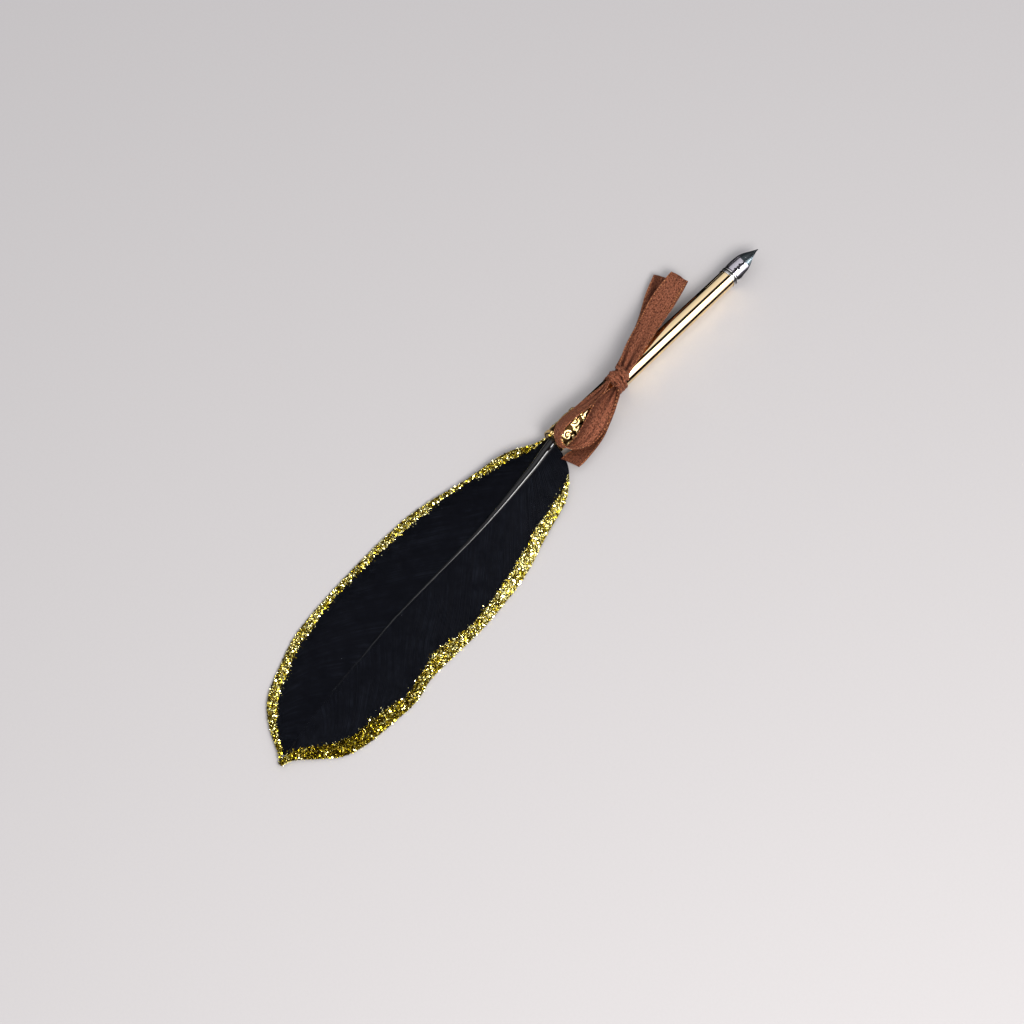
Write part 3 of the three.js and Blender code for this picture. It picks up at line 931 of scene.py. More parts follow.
@dataclass
class Nib:
    """The pull-out nib: an arched, engraved body, a vent, a slit and slender blued tines."""

    length: float = 14.8
    tail: float = 14.0
    thickness: float = 0.26
    tine_start: float = 6.5
    tine_bow: float = 1.1
    tine_slant: float = 0.5
    vent_place: float = 8.2
    vent_length: float = 0.28
    vent_width: float = 0.13
    slit_width: float = 0.04
    # How far round the arch the painted shade along the body's sides begins.
    side_shade_start: float = 2.75
    cut_depth: float = 0.045
    finish: NibSteel = NibSteel()

    # The engraving: place, half length and half width of each mark in the row, how far to one side
    # the row lies and how far it sways, the border lines, and the start and pitch of the curls.
    row: tuple[tuple[float, float, float], ...] = (
        (2.1, 0.42, 0.56), (3.3, 0.46, 0.66), (4.5, 0.46, 0.66), (5.6, 0.42, 0.56),
    )
    row_side: float = -0.95
    row_sway: float = 0.14
    borders: tuple[float, float] = (1.7, 3.75)
    curl_start: float = 1.9
    curl_pitch: float = 1.5

    # Half-width, radius and crest height of the section along the nib.
    half_width = staticmethod(along([
        (-14, 2.22), (0.55, 2.22), (1.15, 3.3), (4.6, 3.33), (6, 3.18), (7.4, 2.85), (8.5, 2.42), (9.5, 1.98),
        (10.3, 1.62), (11.3, 1.2), (12.1, 0.9), (12.9, 0.62), (13.8, 0.34), (14.8, 0.13),
    ]))
    radius = staticmethod(along([(-14, 2.26), (0.55, 2.26), (1.15, 3.34), (9.5, 3.3), (12.1, 2.6), (14.8, 1.4)]))
    crest = staticmethod(along([
        (-14, 2.26), (0.55, 2.26), (1.15, 3.34), (6.2, 3.34), (8.5, 2.98), (10.3, 2.36), (12.1, 1.55), (13.5, 0.95),
        (14.8, 0.4),
    ]))

    def ornament(self, x: Array, w: Array) -> Array:
        """The engraved pattern.

        Args:
            x: place along the nib.
            w: distance round the arch from the crest.

        Returns:
            How deeply each place is cut, from 0 to 1.
        """
        row = np.zeros(np.broadcast(x, w).shape)
        for i, (place, long, wide) in enumerate(self.row):
            off = self.row_side + self.row_sway * (-1) ** i
            d = ((x - place) / long) ** 2 + ((w - off) / wide) ** 2
            row = np.maximum(row, ramp(d, 1.15, 0.8))
        inside = ramp(x, 1.4, 1.6) * ramp(x, 6.6, 6.2)
        border = sum(ramp(np.abs(np.abs(w) - at), 0.07, 0.03) for at in self.borders)
        run = x - self.curl_start
        curl_x, curl_w = run % self.curl_pitch - self.curl_pitch / 2, np.abs(w) - 2.45
        hand = np.sign(np.sin(TAU * run / (2 * self.curl_pitch)))
        reach, turn = np.hypot(curl_x, curl_w), np.arctan2(curl_w, curl_x * hand)
        spiral = ramp(np.abs((reach / 0.36 - turn / TAU) % 1 - 0.5), 0.42, 0.3) * ramp(reach, 0.78, 0.7)
        spiral = spiral * np.where(w < 0, 0.12, 0.4)
        return np.clip(np.maximum(row, np.maximum(border * 0.3, spiral) * inside), 0, 1)

    def opening(self, x: Array) -> Array:
        """Gives half the width of the vent, and of the slit that runs from it to the tip.

        Args:
            x: places along the nib.

        Returns:
            The half width at each one.
        """
        vent = np.sqrt(np.clip(1 - ((x - self.vent_place) / self.vent_length) ** 2, 0, 1)) * self.vent_width
        slit = np.where(x > self.vent_place, self.slit_width, 0)
        return np.minimum(np.maximum(vent, slit), self.half_width(x) * 0.45)

    def build(self) -> None:
        """Makes the nib as two halves that are joined behind the vent and apart in front of it."""
        start = self.vent_place - self.vent_length
        x = np.concatenate([
            np.linspace(-self.tail, 0.4, 30), np.linspace(0.5, start, 150), np.linspace(start, self.length, 220)[1:],
        ])
        opens = int(np.argmin(np.abs(x - start)))
        half = self.half_width(x)
        inner_edge = self.opening(x) / half
        shell = Shell(marks=("tine", "engraved"))
        for side in Side:
            share = np.linspace(0, 1, 61)
            v = side.value * (inner_edge[:, None] + (1 - inner_edge)[:, None] * share)
            angle = np.arcsin(np.clip(half / self.radius(x), 0, 0.995))[:, None] * v
            w = angle * self.radius(x)[:, None]
            there = np.broadcast_to(x[:, None], v.shape)
            engraved = self.ornament(there, w) * (there > 1.2)
            edge = self.tine_start + self.tine_bow * v ** 2 + self.tine_slant * v
            tine = ramp(there - edge, -0.1, 0.1)
            layers = []
            for inset, cut in ((0.0, self.cut_depth * engraved), (self.thickness, 0.0)):
                r = self.radius(x)[:, None] - inset - cut
                z = (self.crest(x) - self.radius(x))[:, None] + r * np.cos(angle)
                layers.append(np.stack([there, r * np.sin(angle), z], axis=-1))
            points = np.concatenate([layer.reshape(-1, 3) for layer in layers])
            rows, columns = v.shape
            index = np.arange(rows * columns * 2).reshape(2, rows, columns)
            walls = [
                np.stack([face[:-1, :-1], face[:-1, 1:], face[1:, 1:], face[1:, :-1]], axis=-1).reshape(-1, 4)
                for face in (index[0], index[1], index[:, :, -1], index[:, opens:, 0], index[:, 0], index[:, -1])
            ]
            # The engraved mark is near black where engraved, and also carries painted shade along both curved-down
            # sides of the body, short of the tines.
            black = np.maximum(engraved, 0.9 * ramp(np.abs(w), self.side_shade_start, self.side_shade_start + 0.5) * (1 - tine))
            shell.take(
                points, np.concatenate(walls), tine=np.tile(np.ravel(tine), 2),
                engraved=np.concatenate([np.ravel(black), np.zeros(black.size)]),
            )
        shell.piece("nib_engraved", "nib", "nib_steel", self.finish, body="nib", crisp=38, seam=0.002)


# ---- Filigree sleeve ----------------------------------------------------------------------------


@dataclass
class Filigree:
    """The sleeve of cast scrollwork between roped rims."""

    sizes: TubeSizes = SIZES
    base_radius: float = 3.82
    bore: float = 3.5
    around: int = 6
    rows: int = 2
    rim: float = 1.25
    rope_place: float = 0.65
    rope_beads: int = 26
    large_size: float = 1.7
    small_size: float = 0.95
    # Its dark second colour is painted shade between and under the wires.
    finish: PolishedMetal = PolishedMetal(
        "gold_filigree", (0.8, 0.6, 0.28, 1), (0.03, 0.016, 0.005, 1), 0.21, 0.14, recess_shade_mark="recess")

    def wrapped(self, flat: Array, lift: Array | float = 0.0) -> Array:
        """Wraps places on the sleeve.

        Args:
            flat: (x, distance round) places.
            lift: how far they are lifted off the sleeve's base.

        Returns:
            The places in the pen's frame.
        """
        radius = self.base_radius + np.broadcast_to(lift, len(flat))
        turn = flat[:, 1] / self.base_radius
        return np.stack([flat[:, 0], radius * np.cos(turn), radius * np.sin(turn)], axis=-1)

    def wire(self, shell: Shell, flat: Array, radius: Array, lift: Array | float = 0.0) -> None:
        """Lays a round wire on the sleeve.

        Args:
            shell: what to add it to.
            flat: (x, distance round) places that it follows.
            radius: its radius at each place.
            lift: as in wrapped.
        """
        path = self.wrapped(flat, lift)
        rings = sweep(path, radius, unit(path * (0, 1, 1)), sides=10, flat=0.95)
        height = np.linalg.norm(rings[..., 1:], axis=-1)
        # Painted shade where the wire meets the base.
        shell.grid(rings, recess=ramp(height, self.base_radius + 0.26, self.base_radius + 0.02))

    def pearl(self, shell: Shell, x: float, w: float, radius: float, lift: float = 0.0) -> None:
        """Sets a bead on the sleeve.

        Args:
            shell: what to add it to.
            x: its place along the sleeve.
            w: its place round it.
            radius: its radius.
            lift: as in wrapped.
        """
        steps = np.linspace(-1, 1, 9)
        flat = np.stack([x + radius * steps, np.full(9, w)], axis=-1)
        self.wire(shell, flat, radius * np.sqrt(np.maximum(1 - steps ** 2, 0.004)), lift)

    def spiral(self, centre: tuple[float, float], size: float, turns: float, start: float, hand: int) -> Array:
        """Follows a scroll from its rim in to its centre.

        Args:
            centre: its middle.
            size: its outer radius.
            turns: how often it winds round.
            start: the angle at its rim.
            hand: 1 or -1, which way it winds.

        Returns:
            (x, distance round) places.
        """
        t = np.linspace(0, 1, 46)
        angle = start + hand * TAU * turns * t
        reach = size * (1 - t) ** 0.8 * 0.88 + size * 0.12
        return np.stack([centre[0] + reach * np.cos(angle), centre[1] + reach * np.sin(angle)], axis=-1)

    def scroll(self, shell: Shell, x: float, w: float, hand: int, end: int) -> None:
        """One repeat of the ornament: a large scroll, a small one against it, leaves and beads.

        Args:
            shell: what to add it to.
            x: the large scroll's place along the sleeve.
            w: its place round it.
            hand: 1 or -1, which way it winds.
            end: 1 or -1, towards which rim it turns.
        """
        large = self.spiral((x, w), self.large_size, 1.45, math.pi / 2 * (1 + end), hand)
        self.wire(shell, large, 0.44 - 0.2 * np.linspace(0, 1, len(large)), 0.06)
        self.pearl(shell, x, w, 0.5, 0.1)
        small_at = (x + end * 1.75, w + hand * 2.1)
        small = self.spiral(small_at, self.small_size, 1.2, -math.pi / 2 * hand, -hand)
        self.wire(shell, small, 0.34 - 0.14 * np.linspace(0, 1, len(small)), 0.04)
        self.pearl(shell, *small_at, 0.3, 0.08)
        t = np.linspace(0, 1, 14)
        for lean, long in ((0.35, 1.5), (-0.5, 1.25)):
            start = np.array([x - end * 1.2, w - hand * 1.3])
            way = np.array([-end * math.cos(lean), -hand * math.sin(lean) - hand * 0.4])
            leaf = start + np.outer(t * long, way) + np.outer(np.sin(t * math.pi) * 0.25, way[::-1])
            self.wire(shell, leaf, 0.05 + 0.34 * np.sin(t * math.pi) ** 0.8, 0.02)

    def roped_rim(self, shell: Shell, x: float) -> None:
        """A rim of slanted beads between two thin rings.

        Args:
            shell: what to add it to.
            x: its place along the sleeve.
        """
        reach = TAU * self.base_radius
        t = np.linspace(-1, 1, 9)
        for i in range(self.rope_beads):
            w = reach * (i + 0.5) / self.rope_beads
            flat = np.stack([x + 0.42 * t, w + 0.22 * t], axis=-1)
            self.wire(shell, flat, 0.4 * np.sqrt(np.maximum(1 - t ** 2, 0.02)), 0.12)
        for side in (-1, 1):
            low, mid = self.base_radius - 0.05, x + side * 0.5
            front, back, high = mid - 0.13, mid + 0.13, low + 0.5
            ring = rounded([(front, low, 0.02), (front, high, 0.1), (back, high, 0.1), (back, low, 0.02)])
            shell.grid(lathe(ring, 96), ends=False)

    def build(self) -> None:
        """Makes the sleeve as one piece."""
        front, back = self.sizes.sleeve_front, self.sizes.sleeve_back
        shell = Shell(marks=("recess",))
        base = rounded([
            (front, self.bore, 0.05), (front, self.base_radius, 0.08),
            (back, self.base_radius, 0.08), (back, self.bore, 0.05),
        ])
        # The base between the wires is painted dark all over, as the shade of the openwork.
        shell.grid(lathe(base), ends=False, recess=1.0)
        self.roped_rim(shell, front - self.rope_place)
        self.roped_rim(shell, back + self.rope_place)
        reach = TAU * self.base_radius
        inner_front, inner_back = front - self.rim, back + self.rim
        tall = (inner_front - inner_back) / self.rows
        for row in range(self.rows):
            for i in range(self.around):
                hand = 1 if (row + i) % 2 else -1
                x = inner_back + tall * (row + 0.5)
                w = reach * (i + 0.25 + 0.5 * row) / self.around
                self.scroll(shell, x, w, hand, 1 if row else -1)
                self.pearl(shell, x + (0.5 if row else -0.5) * tall, w + reach * 0.5 / self.around, 0.42, 0.06)
        shell.piece("sleeve_filigree", "filigree_sleeve", "filigree_gold", self.finish)


# ---- Feather ------------------------------------------------------------------------------------


@dataclass
class Feather:
    """The feather: quill and rachis, two vanes of separate barbs, and their glitter edges."""

    sizes: TubeSizes = SIZES
    length: float = 146.0
    calamus_radius: float = 1.75
    trim_thickness: float = 1.0
    in_socket: float = 10.0
    shaft_end: float = 0.955
    barb_count: int = 430
    flake_density: float = 11
    rim_density: float = 7
    flake_thickness: float = 0.044
    quill: Quill = Quill()
    barbs: Barbs = Barbs()
    glitter: Glitter = Glitter()

    def __post_init__(self) -> None:
        """Sets out the curves that shape the feather, over shares of its length."""
        z = self.sizes
        height = z.ring_radius * PEN.cos + z.ring_reach * PEN.sin - z.sleeve_back * PEN.sin
        self.shaft_side = along([
            (-0.1, 0), (0, 0), (0.09, -1.9), (0.26, -4.3), (0.44, -5.2), (0.57, -5.9), (0.68, -7.6), (0.78, -9.1),
            (0.89, -11.6), (1, -14.6),
        ])
        self.shaft_height = along([
            (0, 1), (0.1, 0.95), (0.2, 0.82), (0.35, 0.64), (0.5, 0.53), (0.7, 0.42), (0.85, 0.35), (1, 0.29),
        ], height)
        self.shaft_radius = along([
            (-0.1, 0.8), (0, 1), (0.09, 0.84), (0.26, 0.5), (0.44, 0.29), (0.68, 0.16), (0.9, 0.09), (1, 0.05),
        ], self.calamus_radius)
        self.vane_edge = {
            Side.LEFT: along([
                (0, 2.6), (0.03, 3), (0.072, 4.9), (0.115, 7.3), (0.167, 9.1), (0.197, 10.8), (0.243, 12.6),
                (0.319, 14), (0.442, 15.1), (0.568, 14.9), (0.645, 14.3), (0.701, 12.2), (0.759, 10.5), (0.835, 6),
                (0.904, 0.1), (0.942, -5.4), (0.97, -11.7), (1, -14.5),
            ]),
            Side.RIGHT: along([
                (0, -3.6), (0.013, -8.1), (0.035, -11.6), (0.085, -14.4), (0.167, -16.5), (0.203, -17.9),
                (0.243, -20), (0.319, -22.6), (0.442, -25.6), (0.503, -24.9), (0.549, -23.8), (0.606, -25.2),
                (0.679, -27.7), (0.748, -26), (0.835, -24.7), (0.888, -21.7), (0.93, -16.6), (0.957, -14.6),
                (1, -14.7),
            ]),
        }
        self.outline = {
            Side.LEFT: along([
                (0, 2.9), (0.035, 4.6), (0.075, 8), (0.115, 10.1), (0.167, 11.4), (0.228, 13.2), (0.289, 15.6),
                (0.35, 17.2), (0.442, 17.6), (0.568, 16.9), (0.683, 15.5), (0.759, 13.6), (0.835, 9.3), (0.904, 4.3),
                (0.95, -3.3), (0.982, -11.8), (1, -14.2),
            ]),
            Side.RIGHT: along([
                (0, -4), (0.013, -8.5), (0.048, -13.6), (0.086, -17.3), (0.121, -18.8), (0.197, -21.9),
                (0.259, -24.9), (0.319, -26.9), (0.442, -28.9), (0.564, -28.9), (0.621, -29.3), (0.675, -31.2),
                (0.759, -30.9), (0.835, -29.9), (0.888, -27.3), (0.93, -22.2), (0.969, -17), (1, -15.4),
            ]),
        }
        self.edge_height = {
            Side.LEFT: along([(0, 0.89), (0.1, 0.65), (0.2, 0.4), (0.35, 0.11), (0.8, 0.11), (1, 0.29)], height),
            Side.RIGHT: along([(0, 0.49), (0.05, 0.42), (0.15, 0.25), (0.28, 0.11), (0.8, 0.11), (1, 0.29)], height),
        }
        # Painted light and shade on each glitter band: its flakes' tint is raised or lowered along the feather.
        self.gleam = {
            Side.LEFT: along([(0, -0.05), (0.5, 0.02), (0.8, 0.03), (1, -0.12)]),
            Side.RIGHT: along([
                (0, 0.16), (0.2, 0.2), (0.45, 0.06), (0.6, -0.08), (0.8, -0.3), (0.9, -0.32), (1, -0.22),
            ]),
        }
        self.barb_lean = along([(0, 86), (0.03, 72), (0.07, 56), (0.13, 43), (0.3, 37), (0.7, 33), (0.9, 26), (1, 20)])
        self.bare = along([(0, 1), (0.16, 1), (0.28, 0.62), (0.4, 0.32), (0.6, 0.16), (1, 0.08)])

    def x_at(self, s: Array) -> Array:
        """The place along the pen of a share of the feather."""
        return self.sizes.sleeve_back - np.asarray(s) * self.length

    def sheet(self, side: Side, s: Array, v: Array, lift: Array | float = 0.0) -> Array:
        """Places on a vane.

        Args:
            side: which vane.
            s: shares of the feather's length.
            v: shares of the way from the rachis to the vane's edge, which may pass 1.
            lift: height above the middle of the vane.

        Returns:
            The places, in the pen's frame.
        """
        root = self.shaft_side(s) + side.value * self.shaft_radius(s) * 0.5
        edge = self.vane_edge[side](s)
        y = root + (edge - root) * v
        fall = np.clip((v + v * v) / 2, 0, 1)
        height = self.shaft_height(s) * (1 - fall) + self.edge_height[side](s) * fall
        x = self.x_at(s)
        return np.stack([x + 0 * y, y, PEN.table_at(x) + height + lift], axis=-1)

    def shaft(self) -> None:
        """The quill and rachis: an oval rod with a shallow groove, fining away to a hair."""
        in_socket = np.linspace(-self.in_socket / self.length, 0, 12)[:-1]
        s = np.concatenate([in_socket, np.linspace(0, self.shaft_end, 260)])
        x = self.x_at(s)
        level = np.where(s < 0, 0, PEN.table_at(x) + self.shaft_height(s))
        path = np.stack([x, np.where(s < 0, 0, self.shaft_side(s)), level], axis=-1)
        sides = 28
        rings = sweep(path, self.shaft_radius(s) * 0.97, UP, sides=sides)
        turn = np.arange(sides) / sides * TAU
        groove = 1 - 0.16 * ramp(np.abs(turn - math.pi * 1.5), 0.5, 0.0)
        ridge = 1 + 0.05 * np.cos(2 * turn)
        rings = path[:, None] + (rings - path[:, None]) * (groove * ridge)[None, :, None]
        shell = Shell(marks=("bare",))
        shell.grid(rings, bare=self.bare(s)[:, None])
        shell.piece("shaft_quill", "feather_shaft", "quill_black", self.quill)

    def barb_end(self, side: Side, start: Array) -> Array:
        """Finds where along the feather each barb reaches the vane's edge.

        Args:
            side: which vane.
            start: where each barb leaves the rachis.

        Returns:
            The share of the feather's length at each barb's end.
        """
        lean = np.radians(self.barb_lean(start))
        end = start.copy()
        for _ in range(24):
            wide = np.abs(self.vane_edge[side](end) - self.shaft_side(end))
            end = 0.5 * end + 0.5 * np.minimum(start + wide / np.tan(lean) / self.length, 0.985)
        return end

    def vane(self, side: Side) -> None:
        """One vane: overlapping barbs in loose clumps on a thin web.

        Args:
            side: which vane.
        """
        rng = np.random.default_rng(31 + side.value)
        start = np.linspace(0.001, 0.93, self.barb_count) + rng.normal(0, 0.00012, self.barb_count)
        end = self.barb_end(side, start)
        clump = np.cumsum(rng.random(self.barb_count) < 0.045)
        sway = rng.normal(0, 0.0016, clump[-1] + 1)[clump]
        drop = rng.normal(0, 0.05, clump[-1] + 1)[clump]
        v = np.linspace(0, 1, 15)
        shell = Shell(marks=("strand",))
        for i in range(self.barb_count):
            bow = v ** 1.12
            s = start[i] + (end[i] - start[i]) * bow + sway[i] * v ** 3
            over = 1.0 + rng.uniform(-0.01, 0.06) * (0.05 < start[i])
            wide = np.abs(self.vane_edge[side](s) - self.shaft_side(s))
            reach = v * (1 + (over - 1) * np.minimum(1, 6 / np.maximum(wide, 1)) * v)
            lift = 0.09 + 0.05 * (i % 2) + (drop[i] + rng.normal(0, 0.012)) * v ** 2
            path = self.sheet(side, np.minimum(s, 0.992), reach, lift)
            thick = (0.24 - 0.09 * v) * (1 + 0.12 * rng.normal())
            shell.grid(sweep(path, np.maximum(thick, 0.05), UP, sides=5, flat=0.4), strand=rng.uniform(0, 1) ** 2)
        s, across = np.linspace(0.001, 0.975, 220), np.linspace(0, 1.03, 14)
        top, under = (self.sheet(side, s[:, None], across[None], lift) for lift in (0.02, -0.1))
        shell.grid(slab(top, under), strand=0.1)
        name = f"vane_{side.name.lower()}"
        shell.piece(name + "_barbs", name, "vane_black", self.barbs)

    def flakes(self, shell: Shell, centre: Array, facing: Array, size: Array, rng: np.random.Generator,
               gleam: Array | float = 0.0) -> None:
        """Adds six-sided flakes of glitter.

        Args:
            shell: what to add them to.
            centre: the middle of each flake.
            facing: which way each one faces.
            size: each one's radius.
            rng: where chance comes from.
            gleam: painted light and shade, added to each one's tint.
        """
        n = len(centre)
        facing = unit(facing)
        first = unit(np.cross(facing, rng.normal(size=(n, 3))))
        second = np.cross(facing, first)
        turn = (np.arange(6) / 6 * TAU)[None, :, None]
        stretch = rng.uniform(0.75, 1.1, n)[:, None, None]
        flat = (np.cos(turn) * first[:, None] + np.sin(turn) * second[:, None] * stretch) * size[:, None, None]
        thick = self.flake_thickness / 2 * facing[:, None]
        points = np.concatenate([centre[:, None] + flat + thick, centre[:, None] + flat - thick], axis=1)
        pattern = [(0, 1, 2, 3), (0, 3, 4, 5), (9, 8, 7, 6), (11, 10, 9, 6)]
        pattern += [(i, i + 6, (i + 1) % 6 + 6, (i + 1) % 6) for i in range(6)]
        quads = (np.arange(n)[:, None, None] * 12 + np.array(pattern)[None]).reshape(-1, 4)
        shell.take(points.reshape(-1, 3), quads, tint=np.repeat(np.clip(rng.random(n) + gleam, 0, 1), 12))

    def trim_band(self, side: Side, s: Array) -> tuple[Array, Array]:
        """Finds the edges of a glitter band, of which the inner one is uneven.

        Args:
            side: which edge of the feather.
            s: shares of its length.

        Returns:
            How far to the side the inner and the outer edge lie.
        """
        value = side.value
        inner = self.vane_edge[side](s)
        outer = self.outline[side](s)
        outer = np.where(value * outer > value * inner + 0.35, outer, inner + value * 0.35)
        wander = 0.2 * ripple(s * 26, s * 0, 5 + value) + 0.1 * ripple(s * 110, s * 0, 9 + value)
        return inner - value * (0.25 + wander), outer

    def bed(self, side: Side, s: Array) -> Array:
        """The level of a glitter band's underside."""
        return PEN.table_at(self.x_at(s)) + np.maximum(self.edge_height[side](s) - self.trim_thickness / 2, 0)

    def trim(self, side: Side, first: float, last: float) -> None:
        """A band of glitter: a rough bed of glue with flakes lying every way on it.

        Args:
            side: which edge.
            first: share of the feather where the band starts.
            last: share where it ends.
        """
        rng = np.random.default_rng(77 + side.value)
        s, across = np.linspace(first, last, 420), np.linspace(0, 1, 9)
        inner, outer = self.trim_band(side, s)
        y = inner[:, None] + (outer - inner)[:, None] * across
        x = np.broadcast_to(self.x_at(s)[:, None], y.shape)
        dome = 0.5 + 0.26 * np.sin(np.pi * np.clip(across, 0.04, 0.96)) ** 0.5
        base = self.bed(side, s)[:, None]
        top = np.stack([x, y, base + dome + 0.06 * ripple(x * 1.3, y * 1.3, 3)], axis=-1)
        under = np.stack([x, y, base + 0.14 - 0.06 * np.sin(np.pi * across)], axis=-1)
        glue = np.clip(0.25 + 0.2 * ripple(x * 2, y * 2, 4), 0.05, 0.5)
        shell = Shell(marks=("tint",))
        shell.grid(slab(top, under), tint=slab(glue, glue))
        wide = np.abs(outer - inner)
        count = int(wide.mean() * (last - first) * self.length * self.flake_density)
        pick = rng.choice(len(s), count, p=wide / wide.sum())
        at = s[pick] + rng.uniform(-0.5, 0.5, count) * (last - first) / len(s)
        share = rng.beta(0.92, 0.92, count)
        near, far = self.trim_band(side, at)
        level = self.bed(side, at) + np.interp(share, across, dome)
        level = level + rng.uniform(-0.02, 0.2, count)
        lean = rng.normal(size=(count, 3)) * 0.7 + UP
        lean[:, 1] += side.value * (share - 0.5) * 1.2
        centre = np.stack([self.x_at(at), near + (far - near) * share, level], axis=-1)
        self.flakes(shell, centre, lean, rng.uniform(0.2, 0.36, count), rng, self.gleam[side](at))
        self.rim_flakes(shell, side, first, last, rng)
        if side is Side.RIGHT:
            self.tip_flakes(shell, rng)
        name = f"trim_{side.name.lower()}"
        shell.piece(name + "_glitter", name, "glitter_gold", self.glitter, smooth=False)

    def rim_flakes(self, shell: Shell, side: Side, first: float, last: float, rng: np.random.Generator) -> None:
        """Flakes that stand over the band's outer edge, and strays on the vane beside it.

        Args:
            shell: what to add them to.
            side: which edge.
            first: share of the feather where the band starts.
            last: share where it ends.
            rng: where chance comes from.
        """
        count = int(self.length * (last - first) * self.rim_density)
        s = rng.uniform(first, last, count)
        _, far = self.trim_band(side, s)
        out = far + side.value * rng.uniform(-0.1, 0.12, count)
        place = np.stack([self.x_at(s), out, self.bed(side, s) + rng.uniform(0.28, 0.6, count)], axis=-1)
        facing = rng.normal(size=(count, 3)) * 0.6 + np.array([0, side.value * 0.9, 0.5])
        self.flakes(shell, place, facing, rng.uniform(0.15, 0.26, count), rng)
        strays = count // 5
        s = rng.uniform(max(first, 0.05), last, strays)
        near, _ = self.trim_band(side, s)
        y = near - side.value * np.minimum(rng.exponential(0.35, strays), 1.6)
        root = self.shaft_side(s)
        place = self.sheet(side, s, (y - root) / (self.vane_edge[side](s) - root), 0.2)
        facing = rng.normal(size=(strays, 3)) * 0.3 + UP
        self.flakes(shell, place, facing, rng.uniform(0.09, 0.18, strays), rng)

    def tip_flakes(self, shell: Shell, rng: np.random.Generator) -> None:
        """The clot of glitter on the feather's tip.

        Args:
            shell: what to add it to.
            rng: where chance comes from.
        """
        count, x = 260, self.x_at(0.985)
        middle = np.array([x, -14.6, PEN.table_at(x) + 0.85])
        way = unit(rng.normal(size=(count, 3)))
        place = middle + way * rng.uniform(0.5, 1.0, (count, 1)) * np.array([1.9, 1.3, 0.45])
        self.flakes(shell, place, way + rng.normal(size=(count, 3)) * 0.5, rng.uniform(0.17, 0.3, count), rng)

    def build(self) -> None:
        """Makes every piece of the feather."""
        self.shaft()
        for side in Side:
            self.vane(side)
        self.trim(Side.LEFT, 0.008, 0.99)
        self.trim(Side.RIGHT, 0.033, 0.998)


# ---- Ribbon bow ---------------------------------------------------------------------------------

Edge = Sequence[tuple[float, float, float]]
# Marks on the ribbon: along and across in millimetres, and painted shade.
WOVEN = ("along", "across", "fold")


@dataclass(frozen=True)
class Strand:
    """One stretch of the bow's ribbon, between a left and a right edge.

    The edges are lists of (share of the way along, millimetres sideways, share of the pen's height).
    """

    name: str
    node: str
    start: float
    reach: float
    left: Edge
    right: Edge
    comes_back: bool
    seed: int
    # Painted shade over the whole stretch, and painted shade on the inner side of a loop's returning half.
    shade: float = 0.0
    inner_shade: float = 0.0

    def edge(self, points: Edge, shares: Array) -> Array:
        """Follows one edge.

        Args:
            points: the edge's points.
            shares: where to read it, as in through.

        Returns:
            The places in the pen's frame.
        """
        share, y, rise = np.array(points, float).T
        x = self.start + share * self.reach
        z = PEN.table_at(x) + rise * PEN.pen_top_at(x)
        return through(np.stack([x, y, z], axis=-1), shares)


